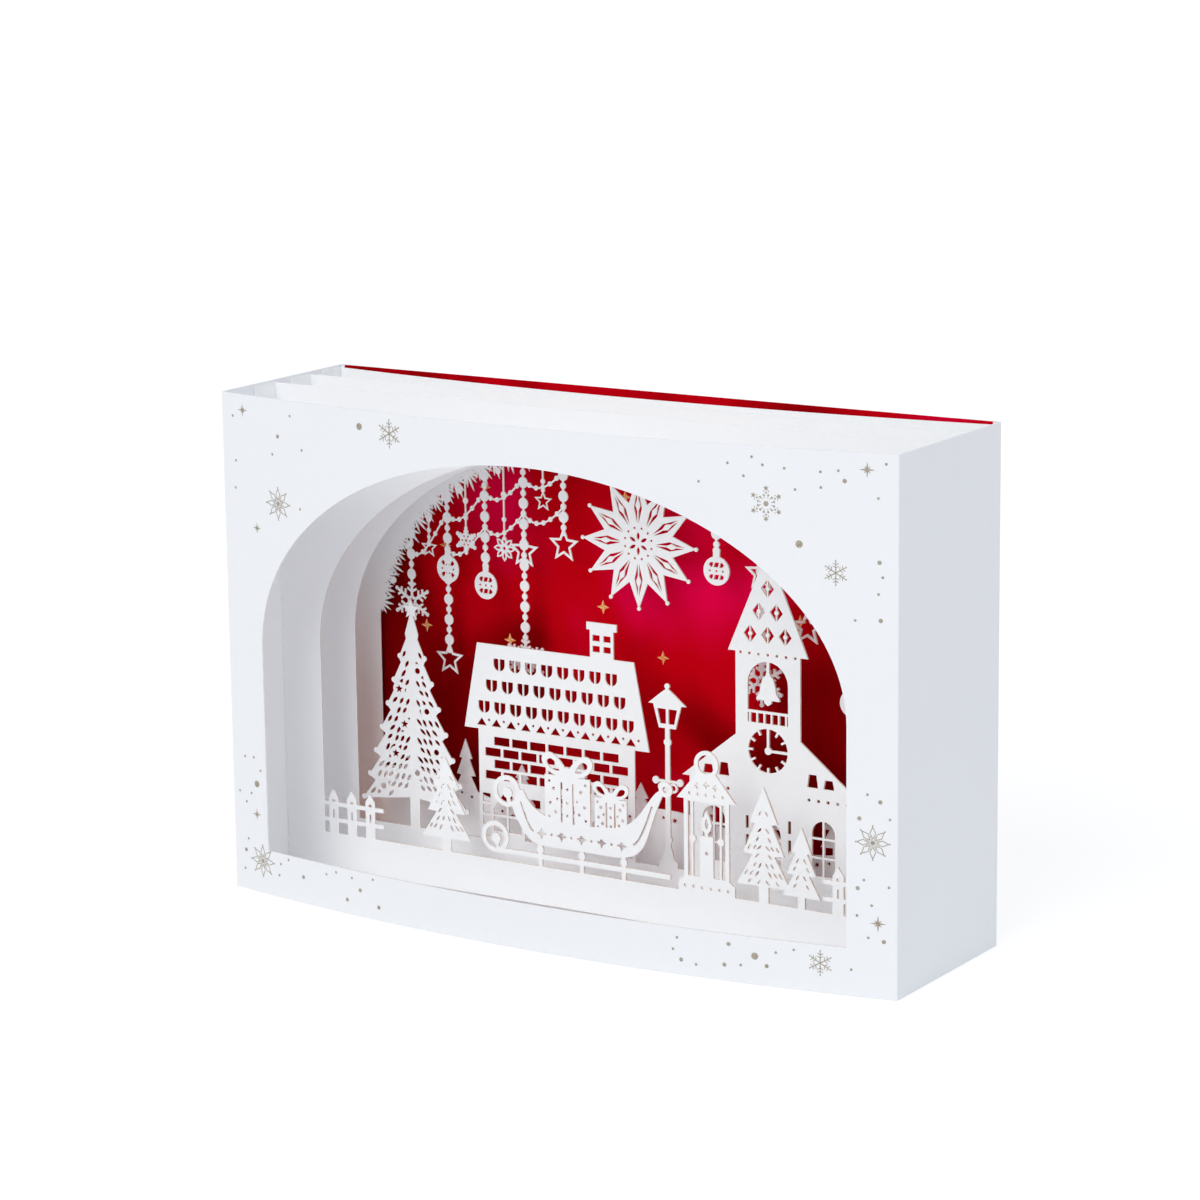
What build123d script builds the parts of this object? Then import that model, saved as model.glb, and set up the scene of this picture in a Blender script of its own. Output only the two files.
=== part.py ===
from build123d import *
from math import cos, pi, sin, sqrt
import os

os.makedirs("parts", exist_ok=True)

# A box-shaped greeting card that stands open. X runs along the front, Y runs from front to back, Z is up.
# The origin is on the table, under the middle of the card. All sizes are in millimetres.

# Card stock and gluing
card = 0.4
backing_card = 0.35
fold_radius = 0.3
glue_line = 0.05
glue_tab = 8.0
rear_flap = 12.0

# Outer frame: the front panel bows forward between its two side folds
width = 179.4
height = 120.0
front_bow = 9.0
front_margin = 11.4
front_sill = 10.8
front_head = 9.0
front_rise = 51.0

# Three layers behind the front panel, each an arched frame
foreground_gap = 19.4
middle_gap = 13.8
rear_gap = 5.35
rear_bow = 6.6
layer_allowance = 0.6
layer_margin = 12.0
layer_sill = 10.4
layer_head = 11.0
layer_rise = 51.5
backing_clearance = 0.4

# Narrowest strip of card in the cut-outs, and how far a figure runs into the card that carries it
bar = 0.9
root = 1.2

# Figures stand at a share of the window's half width from its middle

# Rear layer: bead strings hang from the arch on both sides of a large rosette, over a row of hills
left_drops = (17, 40, 27, 48, 22)
right_drops = (24, 46, 28, 38, 15)
long_drop = 35.0
string_clearance = 10.4
rosette_drop = 9.0
bead_pitch = 5.0
bead_size = 2.6
star_size = 4.4
flake_size = 5.6
bauble_size = 3.4
rosette_size = 15.5
rosette_tips = 12
rear_facets = 11
hill_height = 9.0
hill_swell = 3.0
hill_fir_height = 13.0
hill_fir_width = 7.6
hill_firs = 9
hill_fir_pitch = 0.22

# Middle layer: a tall fir, a brick cottage, a lamp post and a bell tower
fir_place = -0.785
fir_height = 54.0
fir_width = 31.0
fir_rows = 8
cottage_place = -0.257
cottage_width = 44.0
wall_height = 27.0
roof_height = 21.0
eave = 4.0
brick_length = 4.4
brick_height = 2.1
door_width = 7.4
door_height = 12.0
cottage_window_width = 8.0
cottage_window_height = 11.4
cottage_window_offset = 14.0
tile_width = 3.2
tile_pitch = 4.5
icicle_pitch = 4.2
chimney_width = 6.5
chimney_height = 7.5
lamp_place = 0.142
lamp_height = 41.0
lamp_head = 7.6
tower_place = 0.489
tower_width = 17.0
tower_height = 54.0
spire_height = 24.0
belfry_height = 14.5
lozenge_width = 3.4
lozenge_height = 4.4
lozenge_rows = 3
clock_size = 5.2
hall_width = 42.0
hall_height = 23.0
hall_window_width = 6.0
hall_window_height = 13.0
side_fir_place = 0.869
side_fir_height = 33.0
side_fir_width = 16.0

# Foreground layer: a loaded sleigh, a lantern, young firs and two lengths of fence
sleigh_place = -0.05
sleigh_length = 46.0
sleigh_height = 17.0
sleigh_back = 23.0
sleigh_floor = 6.0
sleigh_seat = 11.0
runner_height = 2.4
curl_size = 3.8
parcel_size = 12.5
lantern_place = 0.386
lantern_width = 15.0
lantern_height = 33.0
lantern_ring = 3.2
young_fir_place = 0.579
young_fir_height = 27.0
young_fir_width = 14.0
small_share = 0.7
lone_fir_place = -0.54
fence_pitch = 5.4
fence_height = 11.0
fence_pickets = 3

# Worked out from the sizes above
half_width = width / 2
depth = card + foreground_gap + card + middle_gap + card + rear_gap + card + rear_bow
depth += glue_line + backing_card + glue_line + card
front_fold = -(depth - front_bow) / 2
rear_fold = front_fold + depth
foreground_face = front_fold + card + foreground_gap
middle_face = foreground_face + card + middle_gap
backing_face = rear_fold - card - glue_line - backing_card
rear_back = backing_face - glue_line
layer_half = half_width - card - glue_line
layer_height = height - 2 * layer_allowance
window_half = half_width - layer_margin
layer_spring = height - layer_head - layer_rise
front_half = half_width - front_margin
front_spring = height - front_head - front_rise


def bow_line(x, ends, half, bow, shift):
    """Y at x on a face that bows forward between two ends, or on one shifted along its radius."""
    radius = (half**2 + bow**2) / (2 * bow)
    centre = ends - bow + radius
    return centre - sqrt((radius + shift) ** 2 - x**2)


def arch_underside(x):
    """Height of the layers' arch above the table at x."""
    return layer_spring + layer_rise * sqrt(1 - (x / window_half) ** 2)


def arched_window(half, sill, spring, rise):
    """Flat sill, upright sides and an elliptical head."""
    with BuildSketch() as figure:
        with BuildLine():
            Polyline((half, spring), (half, sill), (-half, sill), (-half, spring))
            EllipticalCenterArc((0, spring), half, rise, start_angle=0, arc_size=180)
        make_face()
    return figure.sketch


def mirrored(right):
    """Outline from its right-hand side, listed from the foot up to the axis or past it."""
    return right + [(-x, y) for x, y in reversed(right) if x]


def star_tips(outer, inner, tips):
    """Corners of a star with one tip pointing up."""
    reaches = [outer, inner] * tips
    turns = [pi / 2 + pi * k / tips for k in range(2 * tips)]
    return [(reach * cos(turn), reach * sin(turn)) for reach, turn in zip(reaches, turns)]


def open_star(size):
    """Five-pointed star with a star-shaped hole."""
    waist = 0.45 * size
    hole = 1 - 1.75 * bar / size
    with BuildSketch() as figure:
        Polygon(*star_tips(size, waist, 5))
        Polygon(*star_tips(size * hole, waist * hole, 5), mode=Mode.SUBTRACT)
    return figure.sketch


def snowflake(size):
    """Six arms, each with one pair of barbs."""
    half = bar / 2
    start = 0.46 * size
    foot = bar / sin(pi / 3)
    lean = 0.34 * size * cos(pi / 3)
    reach = half + 0.34 * size * sin(pi / 3)
    upper = [(size, half), (start + foot, half), (start + foot + lean, reach)]
    upper += [(start + lean, reach), (start, half)]
    lower = [(x, -y) for x, y in reversed(upper)]
    with BuildSketch() as figure:
        RegularPolygon(1.2 * bar, 6)
        with PolarLocations(0, 6, start_angle=90):
            Polygon((0, half), (0, -half), *lower, *upper)
    return figure.sketch


def bauble(size):
    """Round ornament with a cap, and a cut-out above and below its band."""
    with BuildSketch() as figure:
        RegularPolygon(size, 12)
        with Locations((0, size)):
            Rectangle(0.6 * size, 2 * bar)
        with Locations((0, 0.42 * size), (0, -0.42 * size)):
            Rectangle(1.1 * size, 0.4 * size, mode=Mode.SUBTRACT)
    return figure.sketch


def bead_string(length):
    """A thread that hangs down from the origin, with beads along it."""
    right = [(bar / 3, -length)]
    for k in reversed(range(int(length / bead_pitch))):
        middle = -(k + 0.5) * bead_pitch
        right += [(bar / 3, middle - bead_size / 2), (bead_size / 2, middle)]
        right.append((bar / 3, middle + bead_size / 2))
    right.append((bar / 3, root))
    with BuildSketch() as figure:
        Polygon(*mirrored(right))
    return figure.sketch


def rosette(size, tips):
    """Large star with a kite-shaped hole in each tip."""
    turn = pi / tips / 2
    wide = 0.55 * size
    side = (wide * cos(turn), wide * sin(turn))
    kite = [(0.26 * size, 0), side, (0.86 * size, 0), (side[0], -side[1])]
    with BuildSketch() as figure:
        Polygon(*star_tips(size, 0.62 * size, tips))
        with PolarLocations(0, tips, start_angle=90):
            Polygon(*kite, mode=Mode.SUBTRACT)
    return figure.sketch


def plain_fir(tall, wide):
    """Small fir in three tiers, standing on the origin."""
    right = [(0.09 * wide, -root), (0.09 * wide, 0.14 * tall)]
    right += [(0.5 * wide, 0.14 * tall), (0.2 * wide, 0.41 * tall)]
    right += [(0.38 * wide, 0.42 * tall), (0.15 * wide, 0.68 * tall)]
    right += [(0.26 * wide, 0.69 * tall), (0, tall)]
    with BuildSketch() as figure:
        Polygon(*mirrored(right))
    return figure.sketch


def lace_fir(tall, wide, rows):
    """Large fir whose branches are parted by slits on both sides of the trunk."""
    trunk = 0.1 * tall
    row = (tall - trunk) / rows
    reach = [0.5 * wide * (1 - k / rows) for k in range(rows + 1)]
    right = [(1.6 * bar, -root), (1.6 * bar, trunk + 0.3 * row)]
    for k in range(rows):
        right.append((reach[k], trunk + k * row))
        if k < rows - 1:
            right.append((0.86 * reach[k + 1], trunk + (k + 0.8) * row))
    right.append((0, tall))
    slits = []
    for k in range(rows - 2):
        top = trunk + (k + 0.84) * row
        inner = 1.1 * bar
        outer = 0.84 * reach[k] - bar
        parts = max(1, round((outer - inner) / (4.4 * bar)))
        step = (outer - inner + bar) / parts
        droop = 0.3 * row / reach[k]
        for j in range(parts):
            start = inner + j * step
            end = start + step - bar
            rise = top - droop * start
            fall = top - droop * end
            slit = [(start, rise), (start, rise - 0.4 * row), (end, fall - 0.32 * row), (end, fall)]
            slits += [slit, [(-x, y) for x, y in slit]]
    with BuildSketch() as figure:
        Polygon(*mirrored(right))
        with Locations((0, tall)):
            Polygon(*star_tips(2.6, 1.1, 5))
        add([Polygon(*slit, mode=Mode.PRIVATE) for slit in slits], mode=Mode.SUBTRACT)
    return figure.sketch


def pointed_arch(wide, tall):
    """Outline of an arched opening, standing on the origin."""
    half = wide / 2
    shoulder = tall - half
    return mirrored([(half, 0), (half, shoulder), (0.6 * half, shoulder + 0.8 * half), (0, tall)])


def glazing(wide, tall):
    """Arched panes parted by one upright and two crossing bars, standing on the origin."""
    with BuildSketch() as figure:
        Polygon(*pointed_arch(wide, tall))
        with Locations((0, tall / 2)):
            Rectangle(0.7 * bar, tall, mode=Mode.SUBTRACT)
        with Locations((0, tall / 3), (0, 0.68 * tall)):
            Rectangle(wide, 0.7 * bar, mode=Mode.SUBTRACT)
    return figure.sketch


def brickwork():
    """Bricks of the cottage's front: four courses over the windows, and piers between the openings."""
    course = brick_height + 0.8 * bar
    stretch = brick_length + 0.8 * bar
    bricks = int((cottage_width - 2 * bar) / stretch)
    band = cottage_window_height + 3.5 * bar
    inner_edge = cottage_window_offset - cottage_window_width / 2
    outer_edge = cottage_window_offset + cottage_window_width / 2
    inner_pier = (inner_edge + door_width / 2) / 2
    outer_pier = (outer_edge + cottage_width / 2) / 2
    with BuildSketch() as figure:
        with Locations((0, band + 1.5 * course)):
            with GridLocations(stretch, 2 * course, bricks, 2):
                Rectangle(brick_length, brick_height)
        with Locations((0, band + 2.5 * course)):
            with GridLocations(stretch, 2 * course, bricks - 1, 2):
                Rectangle(brick_length, brick_height)
        with Locations((0, 2 * bar + 1.5 * course)):
            with GridLocations(2 * inner_pier, course, 2, 4):
                Rectangle(inner_edge - door_width / 2 - 2 * bar, brick_height)
            with GridLocations(2 * outer_pier, course, 2, 4):
                Rectangle(cottage_width / 2 - outer_edge - 2 * bar, brick_height)
    return figure.sketch


def roof_holes():
    """Three rows of round-ended tiles over a row of gaps that leave icicles between them."""
    half = tile_width / 2
    tile = mirrored([(0, -0.6 * tile_width), (0.75 * half, -0.4 * tile_width), (half, 0.35 * tile_width)])
    row_rise = (roof_height - 2 * bar) / 3.6
    with BuildSketch() as figure:
        with Locations((0, wall_height + bar)):
            with GridLocations(icicle_pitch, 1, int(cottage_width / icicle_pitch) + 1, 1):
                Polygon((-icicle_pitch / 3, 0), (icicle_pitch / 3, 0), (0, 0.45 * icicle_pitch))
        for k in range(3):
            with Locations((0, wall_height + (k + 1.1) * row_rise)):
                with GridLocations(tile_pitch, 1, int(cottage_width / tile_pitch) + 1 - k, 1):
                    Polygon(*tile)
    return figure.sketch


def cottage():
    """Brick front with a door, two windows, a tiled roof and a chimney."""
    ridge = wall_height + roof_height
    half = cottage_width / 2
    chimney = 0.3 * cottage_width
    right = [(half, -root), (half, wall_height), (half + eave, wall_height), (half, ridge)]
    with BuildSketch() as figure:
        Polygon(*mirrored(right))
        with Locations((chimney, ridge + (chimney_height - bar) / 2)):
            Rectangle(chimney_width, chimney_height + bar)
        with Locations((chimney, ridge + chimney_height)):
            Rectangle(chimney_width + 2 * bar, 2 * bar)
        with Locations((0, cottage_window_height / 2 + 2 * bar)):
            with GridLocations(2 * cottage_window_offset, 1, 2, 1):
                Rectangle(cottage_window_width, cottage_window_height, mode=Mode.SUBTRACT)
                Rectangle(0.7 * bar, cottage_window_height)
                Rectangle(cottage_window_width, 0.7 * bar)
        with Locations((0, 0.36 * door_height + bar)):
            with GridLocations(0.5 * door_width, 1, 2, 1):
                Rectangle(0.5 * door_width - bar, 0.64 * door_height, mode=Mode.SUBTRACT)
        with Locations((0, door_height)):
            RegularPolygon(0.28 * door_width, 8, mode=Mode.SUBTRACT)
        with Locations((chimney, ridge + 0.45 * chimney_height)):
            with GridLocations(0.46 * chimney_width, 0.35 * chimney_height, 2, 2):
                Rectangle(0.31 * chimney_width, 0.2 * chimney_height, mode=Mode.SUBTRACT)
        add([brickwork(), roof_holes()], mode=Mode.SUBTRACT)
    return figure.sketch


def lamp_post():
    """Street lamp with a glazed head and a ladder bar."""
    half = lamp_head / 2
    brim = lamp_height - 2
    neck = lamp_height - lamp_head
    with BuildSketch() as figure:
        Polygon(*mirrored([(2.6, -root), (2.6, 1.2), (1.1, 4.0), (0.75 * bar, 5.0), (0.75 * bar, neck),
                           (0.6 * half, neck), (half, brim), (1.35 * half, brim), (0, lamp_height + 2)]))
        with Locations((0, 0.62 * neck)):
            Rectangle(6.5, bar)
        with Locations((0, (neck + brim) / 2)):
            with GridLocations(0.3 * lamp_head, 1, 2, 1):
                Rectangle(0.18 * lamp_head, 0.6 * (brim - neck), mode=Mode.SUBTRACT)
    return figure.sketch


def bell():
    """Bell on its rope, hanging down from the origin."""
    rope = 0.35 * bar
    right = [(0, -10.0), (0.8, -9.0), (3.0, -9.0), (1.9, -7.0), (1.4, -3.6), (rope, -2.4), (rope, root)]
    with BuildSketch() as figure:
        Polygon(*mirrored(right))
    return figure.sketch


def bell_tower():
    """Tower with a belfry, a clock and a latticed spire, in front of a low hall."""
    half = tower_width / 2
    hall_half = hall_width / 2
    belfry_floor = tower_height - belfry_height - 2 * bar
    clock_place = belfry_floor - clock_size - 1.3 * bar
    hall = [(hall_half, -root), (hall_half, hall_height), (hall_half + 2, hall_height)]
    hall.append((half, 1.5 * hall_height))
    spire = [(half, -root), (half, tower_height), (half + 2, tower_height), (0, tower_height + spire_height)]
    with BuildSketch() as figure:
        Polygon(*mirrored(hall))
        Polygon(*mirrored(spire))
        with Locations((0, tower_height + spire_height)):
            Polygon(*star_tips(4.2, 1.8, 5))
        with Locations((0, hall_height + 2.8)):
            with GridLocations(2 * (half + 3.2), 1, 2, 1):
                Polygon((-1.4, -1.6), (1.4, -1.6), (1.0, 1.6), (-1.0, 1.6), mode=Mode.SUBTRACT)
            with GridLocations(2 * (half + 7.4), 1, 2, 1):
                Polygon((-1.4, -1.6), (1.4, -1.6), (0.8, 1.0), (-0.8, 1.0), mode=Mode.SUBTRACT)
        for k in range(lozenge_rows):
            with Locations((0, tower_height + lozenge_height + k * (lozenge_height + 1.1 * bar))):
                with GridLocations(lozenge_width + 1.3 * bar, 1, lozenge_rows - k, 1):
                    Polygon((0, -lozenge_height / 2), (lozenge_width / 2, 0), (0, lozenge_height / 2),
                            (-lozenge_width / 2, 0), mode=Mode.SUBTRACT)
        with Locations((0, belfry_floor)):
            Polygon(*pointed_arch(1.25 * half, belfry_height), mode=Mode.SUBTRACT)
        with Locations((0, belfry_floor + belfry_height)):
            add(bell())
        with Locations((0, clock_place)):
            RegularPolygon(clock_size, 12, mode=Mode.SUBTRACT)
            Polygon((-0.4 * bar, -bar), (0.4 * bar, -bar), (0.4 * bar, clock_size), (-0.4 * bar, clock_size))
            Polygon((-bar, -0.4 * bar), (clock_size, -0.4 * bar), (clock_size, 0.4 * bar), (-bar, 0.4 * bar))
        with Locations((0, 2 * bar)):
            add(glazing(1.1 * hall_window_width, hall_window_height), mode=Mode.SUBTRACT)
        with Locations((0, 4 * bar)):
            with GridLocations(2 * (half + hall_window_width), 1, 2, 1):
                add(glazing(hall_window_width, hall_window_height), mode=Mode.SUBTRACT)
    return figure.sketch


def parcel(size):
    """Tied parcel with a bow, standing on the origin."""
    loop = 0.42 * size
    wing = [(0, 0), (0.5, 0), (1.3, 0.25), (1.1, 0.95), (0.4, 0.7)]
    hole = [(0.42, 0.28), (1.0, 0.38), (0.92, 0.7), (0.5, 0.55)]
    with BuildSketch() as figure:
        with Locations((0, (size - root) / 2)):
            Rectangle(size, size + root)
        for side in (-loop, loop):
            Polygon(*[(side * x, size + loop * y) for x, y in wing])
            Polygon(*[(side * x, size + loop * y) for x, y in hole], mode=Mode.SUBTRACT)
        with Locations((0, size + 0.1 * loop)):
            RegularPolygon(0.3 * loop, 6)
        with Locations((0, 0.5 * size)):
            with GridLocations(0.56 * size, 0.42 * size, 2, 2):
                RegularPolygon(0.12 * size, 4, mode=Mode.SUBTRACT)
            with GridLocations(0.26 * size, 1, 2, 1):
                Rectangle(0.6 * bar, 0.8 * size, mode=Mode.SUBTRACT)
    return figure.sketch


def sleigh():
    """Side view of a sleigh: a curled runner on struts under a tub with a rolled dash and a high back."""
    half = sleigh_length / 2
    keel = sleigh_floor - bar
    curls = [(-1.05 * half, runner_height + curl_size - 0.7 * bar), (-0.9 * half, sleigh_height)]
    with BuildSketch() as figure:
        with BuildLine():
            dash = Bezier((-0.9 * half, sleigh_height), (-0.7 * half, keel), (-0.6 * half, keel),
                          (-0.35 * half, keel))
            floor = Line(dash @ 1, (0.35 * half, keel))
            back = Bezier(floor @ 1, (0.85 * half, keel), (0.72 * half, sleigh_seat), (half, sleigh_back))
            rest = Bezier(back @ 1, (0.78 * half, sleigh_back), (0.75 * half, sleigh_seat + bar),
                          (0.3 * half, sleigh_seat + bar))
            knee = Bezier(rest @ 1, (-0.1 * half, sleigh_seat), (-0.55 * half, sleigh_seat - bar),
                          (-0.7 * half, sleigh_height + bar))
            Line(knee @ 1, dash @ 0)
        make_face()
        with Locations((0, (keel + sleigh_seat) / 2)):
            with GridLocations(0.24 * half, 1, 5, 1):
                RegularPolygon(1.6 * bar, 4, mode=Mode.SUBTRACT)
        with Locations((half, sleigh_back)):
            RegularPolygon(2 * bar, 8)
        with Locations((0, (sleigh_floor - root) / 2)):
            with GridLocations(0.25 * sleigh_length, 1, 3, 1):
                Rectangle(1.5 * bar, sleigh_floor + root)
        with Locations((0, runner_height)):
            Rectangle(2.1 * half, 1.4 * bar)
        with Locations(*curls):
            RegularPolygon(curl_size, 12)
        with Locations(*curls):
            RegularPolygon(curl_size - 1.5 * bar, 12, mode=Mode.SUBTRACT)
    return figure.sketch


def lantern():
    """Standing lantern with a candle behind its glass and a ring on top."""
    half = lantern_width / 2
    floor = 0.1 * lantern_height
    glass = 0.56 * lantern_height
    crown = floor + glass + 0.2 * lantern_height
    candle = 0.55 * glass
    with BuildSketch() as figure:
        Polygon(*mirrored([(half, -root), (half, floor - bar), (0.8 * half, floor),
                           (0.8 * half, floor + glass), (1.05 * half, floor + glass), (0.3 * half, crown)]))
        with Locations((0, floor + glass / 2)):
            Rectangle(1.6 * half - 2.4 * bar, glass - bar, mode=Mode.SUBTRACT)
            with GridLocations(0.62 * lantern_width - 2 * bar, 1, 2, 1):
                Rectangle(0.7 * bar, glass)
        with Locations((0, floor)):
            Polygon(*mirrored([(1.8, -bar), (1.8, candle), (0.4, candle), (1.4, candle + 2.4),
                               (0, candle + 6)]))
        with Locations((0, crown + 0.6 * lantern_ring)):
            RegularPolygon(lantern_ring, 10)
            RegularPolygon(lantern_ring - 1.3 * bar, 10, mode=Mode.SUBTRACT)
    return figure.sketch


def fence():
    """Run of pointed pickets on two rails."""
    picket = 0.52 * fence_pitch
    with BuildSketch() as figure:
        with GridLocations(fence_pitch, 1, fence_pickets, 1):
            Polygon(*mirrored([(picket / 2, -root), (picket / 2, fence_height - 2), (0, fence_height)]))
        with Locations((0, 0.3 * fence_height), (0, 0.66 * fence_height)):
            Rectangle(fence_pickets * fence_pitch + 2 * root, 1.1 * bar)
    return figure.sketch


def hills():
    """Rolling ground line across the whole window, above the origin."""
    reach = window_half + root
    steps = 24
    crest = []
    for k in range(steps + 1):
        x = reach * (1 - 2 * k / steps)
        crest.append((x, hill_height + hill_swell * sin(0.085 * x + 1)))
    with BuildSketch() as figure:
        Polygon((-reach, -root), (reach, -root), *crest)
    return figure.sketch


def foreground_figures():
    """Everything that stands on the foreground layer's sill."""
    load = sleigh_seat - bar
    fence_place = window_half - fence_pickets * fence_pitch / 2
    sleigh_middle = sleigh_place * window_half
    young_fir = young_fir_place * window_half
    small_fir = young_fir + small_share * young_fir_width
    figures = [
        Pos(sleigh_middle) * sleigh(),
        Pos(sleigh_middle - 0.3 * parcel_size, load) * parcel(parcel_size),
        Pos(sleigh_middle + 0.65 * parcel_size, load) * parcel(small_share * parcel_size),
        Pos(lantern_place * window_half) * lantern(),
        Pos(young_fir) * plain_fir(young_fir_height, young_fir_width),
        Pos(small_fir) * plain_fir(small_share * young_fir_height, small_share * young_fir_width),
        Pos(lone_fir_place * window_half) * plain_fir(0.85 * young_fir_height, young_fir_width),
        Pos(-fence_place) * fence(),
        Pos(fence_place) * fence(),
    ]
    return figures


def middle_figures():
    """Everything that stands on the middle layer's sill."""
    figures = [
        Pos(fir_place * window_half) * lace_fir(fir_height, fir_width, fir_rows),
        Pos(cottage_place * window_half) * cottage(),
        Pos(lamp_place * window_half) * lamp_post(),
        Pos(tower_place * window_half) * bell_tower(),
        Pos(side_fir_place * window_half) * plain_fir(side_fir_height, side_fir_width),
    ]
    return figures


def string_places(drops, inner):
    """Where the strings of one side hang, from beside the rosette out to the window's edge."""
    pitch = (window_half - string_clearance - inner) / (len(drops) - 1)
    return [inner + k * pitch for k in range(len(drops))]


def rear_figures():
    """Hills and firs on the rear layer's sill, and the strings that hang from its arch."""
    inner = rosette_size + 6 * bar
    strings = [(-x, drop) for x, drop in zip(reversed(string_places(left_drops, inner)), left_drops)]
    strings += zip(string_places(right_drops, inner), right_drops)
    ornaments = [snowflake(flake_size), open_star(star_size), bauble(bauble_size)]
    crown = arch_underside(0)
    figures = [
        Pos(0, layer_sill) * hills(),
        Pos(0, crown) * bead_string(rosette_drop),
        Pos(0, crown - rosette_drop - rosette_size + bar) * rosette(rosette_size, rosette_tips),
    ]
    for k, (x, drop) in enumerate(strings):
        top = arch_underside(x)
        figures.append(Pos(x, top) * bead_string(drop))
        figures.append(Pos(x, top - drop - star_size / 2) * ornaments[k % 3])
        if drop > long_drop:
            figures.append(Pos(x, top - drop / 2) * ornaments[(k + 1) % 3])
    for k in range(hill_firs):
        x = (k - hill_firs // 2) * hill_fir_pitch * window_half
        fir = plain_fir((1.2 if k % 2 else 0.9) * hill_fir_height, hill_fir_width)
        figures.append(Pos(x, layer_sill + hill_height - hill_swell) * fir)
    return figures


with BuildPart() as outer_frame:
    with BuildSketch() as outer_plan:
        inner_half = half_width - card
        inner_start = bow_line(inner_half, front_fold, half_width, front_bow, -card)
        flap_end = half_width - rear_flap
        with BuildLine():
            nose = front_fold - front_bow
            outer_arc = ThreePointArc((-half_width, front_fold), (0, nose), (half_width, front_fold))
            Polyline(outer_arc @ 1, (half_width, rear_fold), (flap_end, rear_fold),
                     (flap_end, rear_fold - card), (inner_half, rear_fold - card),
                     (inner_half, inner_start))
            inner_nose = (0, nose + card)
            inner_arc = ThreePointArc((inner_half, inner_start), inner_nose, (-inner_half, inner_start))
            Polyline(inner_arc @ 1, (-inner_half, rear_fold - card), (-flap_end, rear_fold - card),
                     (-flap_end, rear_fold), (-half_width, rear_fold), outer_arc @ 0)
        make_face()
        sides = outer_plan.vertices().group_by(Axis.X)
        fillet(sides[0] + sides[-1], fold_radius)
    extrude(amount=height)
    with BuildSketch(Plane.XZ.offset(-(front_fold + 2 * card))):
        add(arched_window(front_half, front_sill, front_spring, front_rise))
    extrude(amount=front_bow + 4 * card, mode=Mode.SUBTRACT)

with BuildPart() as foreground_layer:
    with BuildSketch(Plane.XZ.offset(-(foreground_face + card))):
        with Locations((0, height / 2)):
            Rectangle(2 * layer_half, layer_height)
        add(arched_window(window_half, layer_sill, layer_spring, layer_rise), mode=Mode.SUBTRACT)
        with Locations((0, layer_sill)):
            add(foreground_figures())
    extrude(amount=card)
    with Locations((0, foreground_face + card - glue_tab / 2, height / 2)):
        with GridLocations(2 * layer_half - card, 1, 2, 1):
            Box(card, glue_tab, layer_height)
    foreground_back = foreground_layer.faces().sort_by(Axis.Y)[-1]
    fillet(foreground_back.outer_wire().edges().filter_by(Axis.Z), fold_radius)

with BuildPart() as middle_layer:
    with BuildSketch(Plane.XZ.offset(-(middle_face + card))):
        with Locations((0, height / 2)):
            Rectangle(2 * layer_half, layer_height)
        add(arched_window(window_half, layer_sill, layer_spring, layer_rise), mode=Mode.SUBTRACT)
        with Locations((0, layer_sill)):
            add(middle_figures())
    extrude(amount=card)
    with Locations((0, middle_face + card - glue_tab / 2, height / 2)):
        with GridLocations(2 * layer_half - card, 1, 2, 1):
            Box(card, glue_tab, layer_height)
    middle_back = middle_layer.faces().sort_by(Axis.Y)[-1]
    fillet(middle_back.outer_wire().edges().filter_by(Axis.Z), fold_radius)

with BuildPart() as rear_layer:
    with BuildSketch(Plane.XY.offset(layer_allowance)) as rear_plan:
        tab_face = layer_half - card
        tab_end = rear_back - glue_tab
        step = 2 * layer_half / rear_facets
        folds = [layer_half - k * step for k in range(1, rear_facets)]
        back_line = [(x, bow_line(x, rear_back, layer_half, rear_bow, 0)) for x in folds]
        face_line = [(-x, bow_line(x, rear_back, layer_half, rear_bow, card)) for x in folds]
        face_start = bow_line(tab_face, rear_back, layer_half, rear_bow, card)
        Polygon((layer_half, rear_back), *back_line, (-layer_half, rear_back), (-layer_half, tab_end),
                (-tab_face, tab_end), (-tab_face, face_start), *face_line, (tab_face, face_start),
                (tab_face, tab_end), (layer_half, tab_end))
        fillet(rear_plan.vertices().group_by(Axis.Y)[-1], fold_radius)
    extrude(amount=layer_height)
    with BuildSketch(Plane.XZ.offset(-(rear_back + card))):
        add(arched_window(window_half, layer_sill, layer_spring, layer_rise))
        add(rear_figures(), mode=Mode.SUBTRACT)
    extrude(amount=rear_bow + 3 * card, mode=Mode.SUBTRACT)

with BuildPart() as backing_panel:
    with BuildSketch():
        with Locations((0, backing_face + backing_card / 2)):
            Rectangle(2 * (half_width - card - backing_clearance), backing_card)
    extrude(amount=height)

outer_frame.part.label = "outer_frame"
foreground_layer.part.label = "foreground_layer"
middle_layer.part.label = "middle_layer"
rear_layer.part.label = "rear_layer"
backing_panel.part.label = "backing_panel"
export_step(outer_frame.part, "parts/outer_frame.step")
export_step(foreground_layer.part, "parts/foreground_layer.step")
export_step(middle_layer.part, "parts/middle_layer.step")
export_step(rear_layer.part, "parts/rear_layer.step")
export_step(backing_panel.part, "parts/backing_panel.step")
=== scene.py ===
import random
from math import asin, atan2, cos, hypot, pi, radians, sin, sqrt
import bpy
from mathutils import Matrix, Vector
from mathutils.geometry import delaunay_2d_cdt


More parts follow.
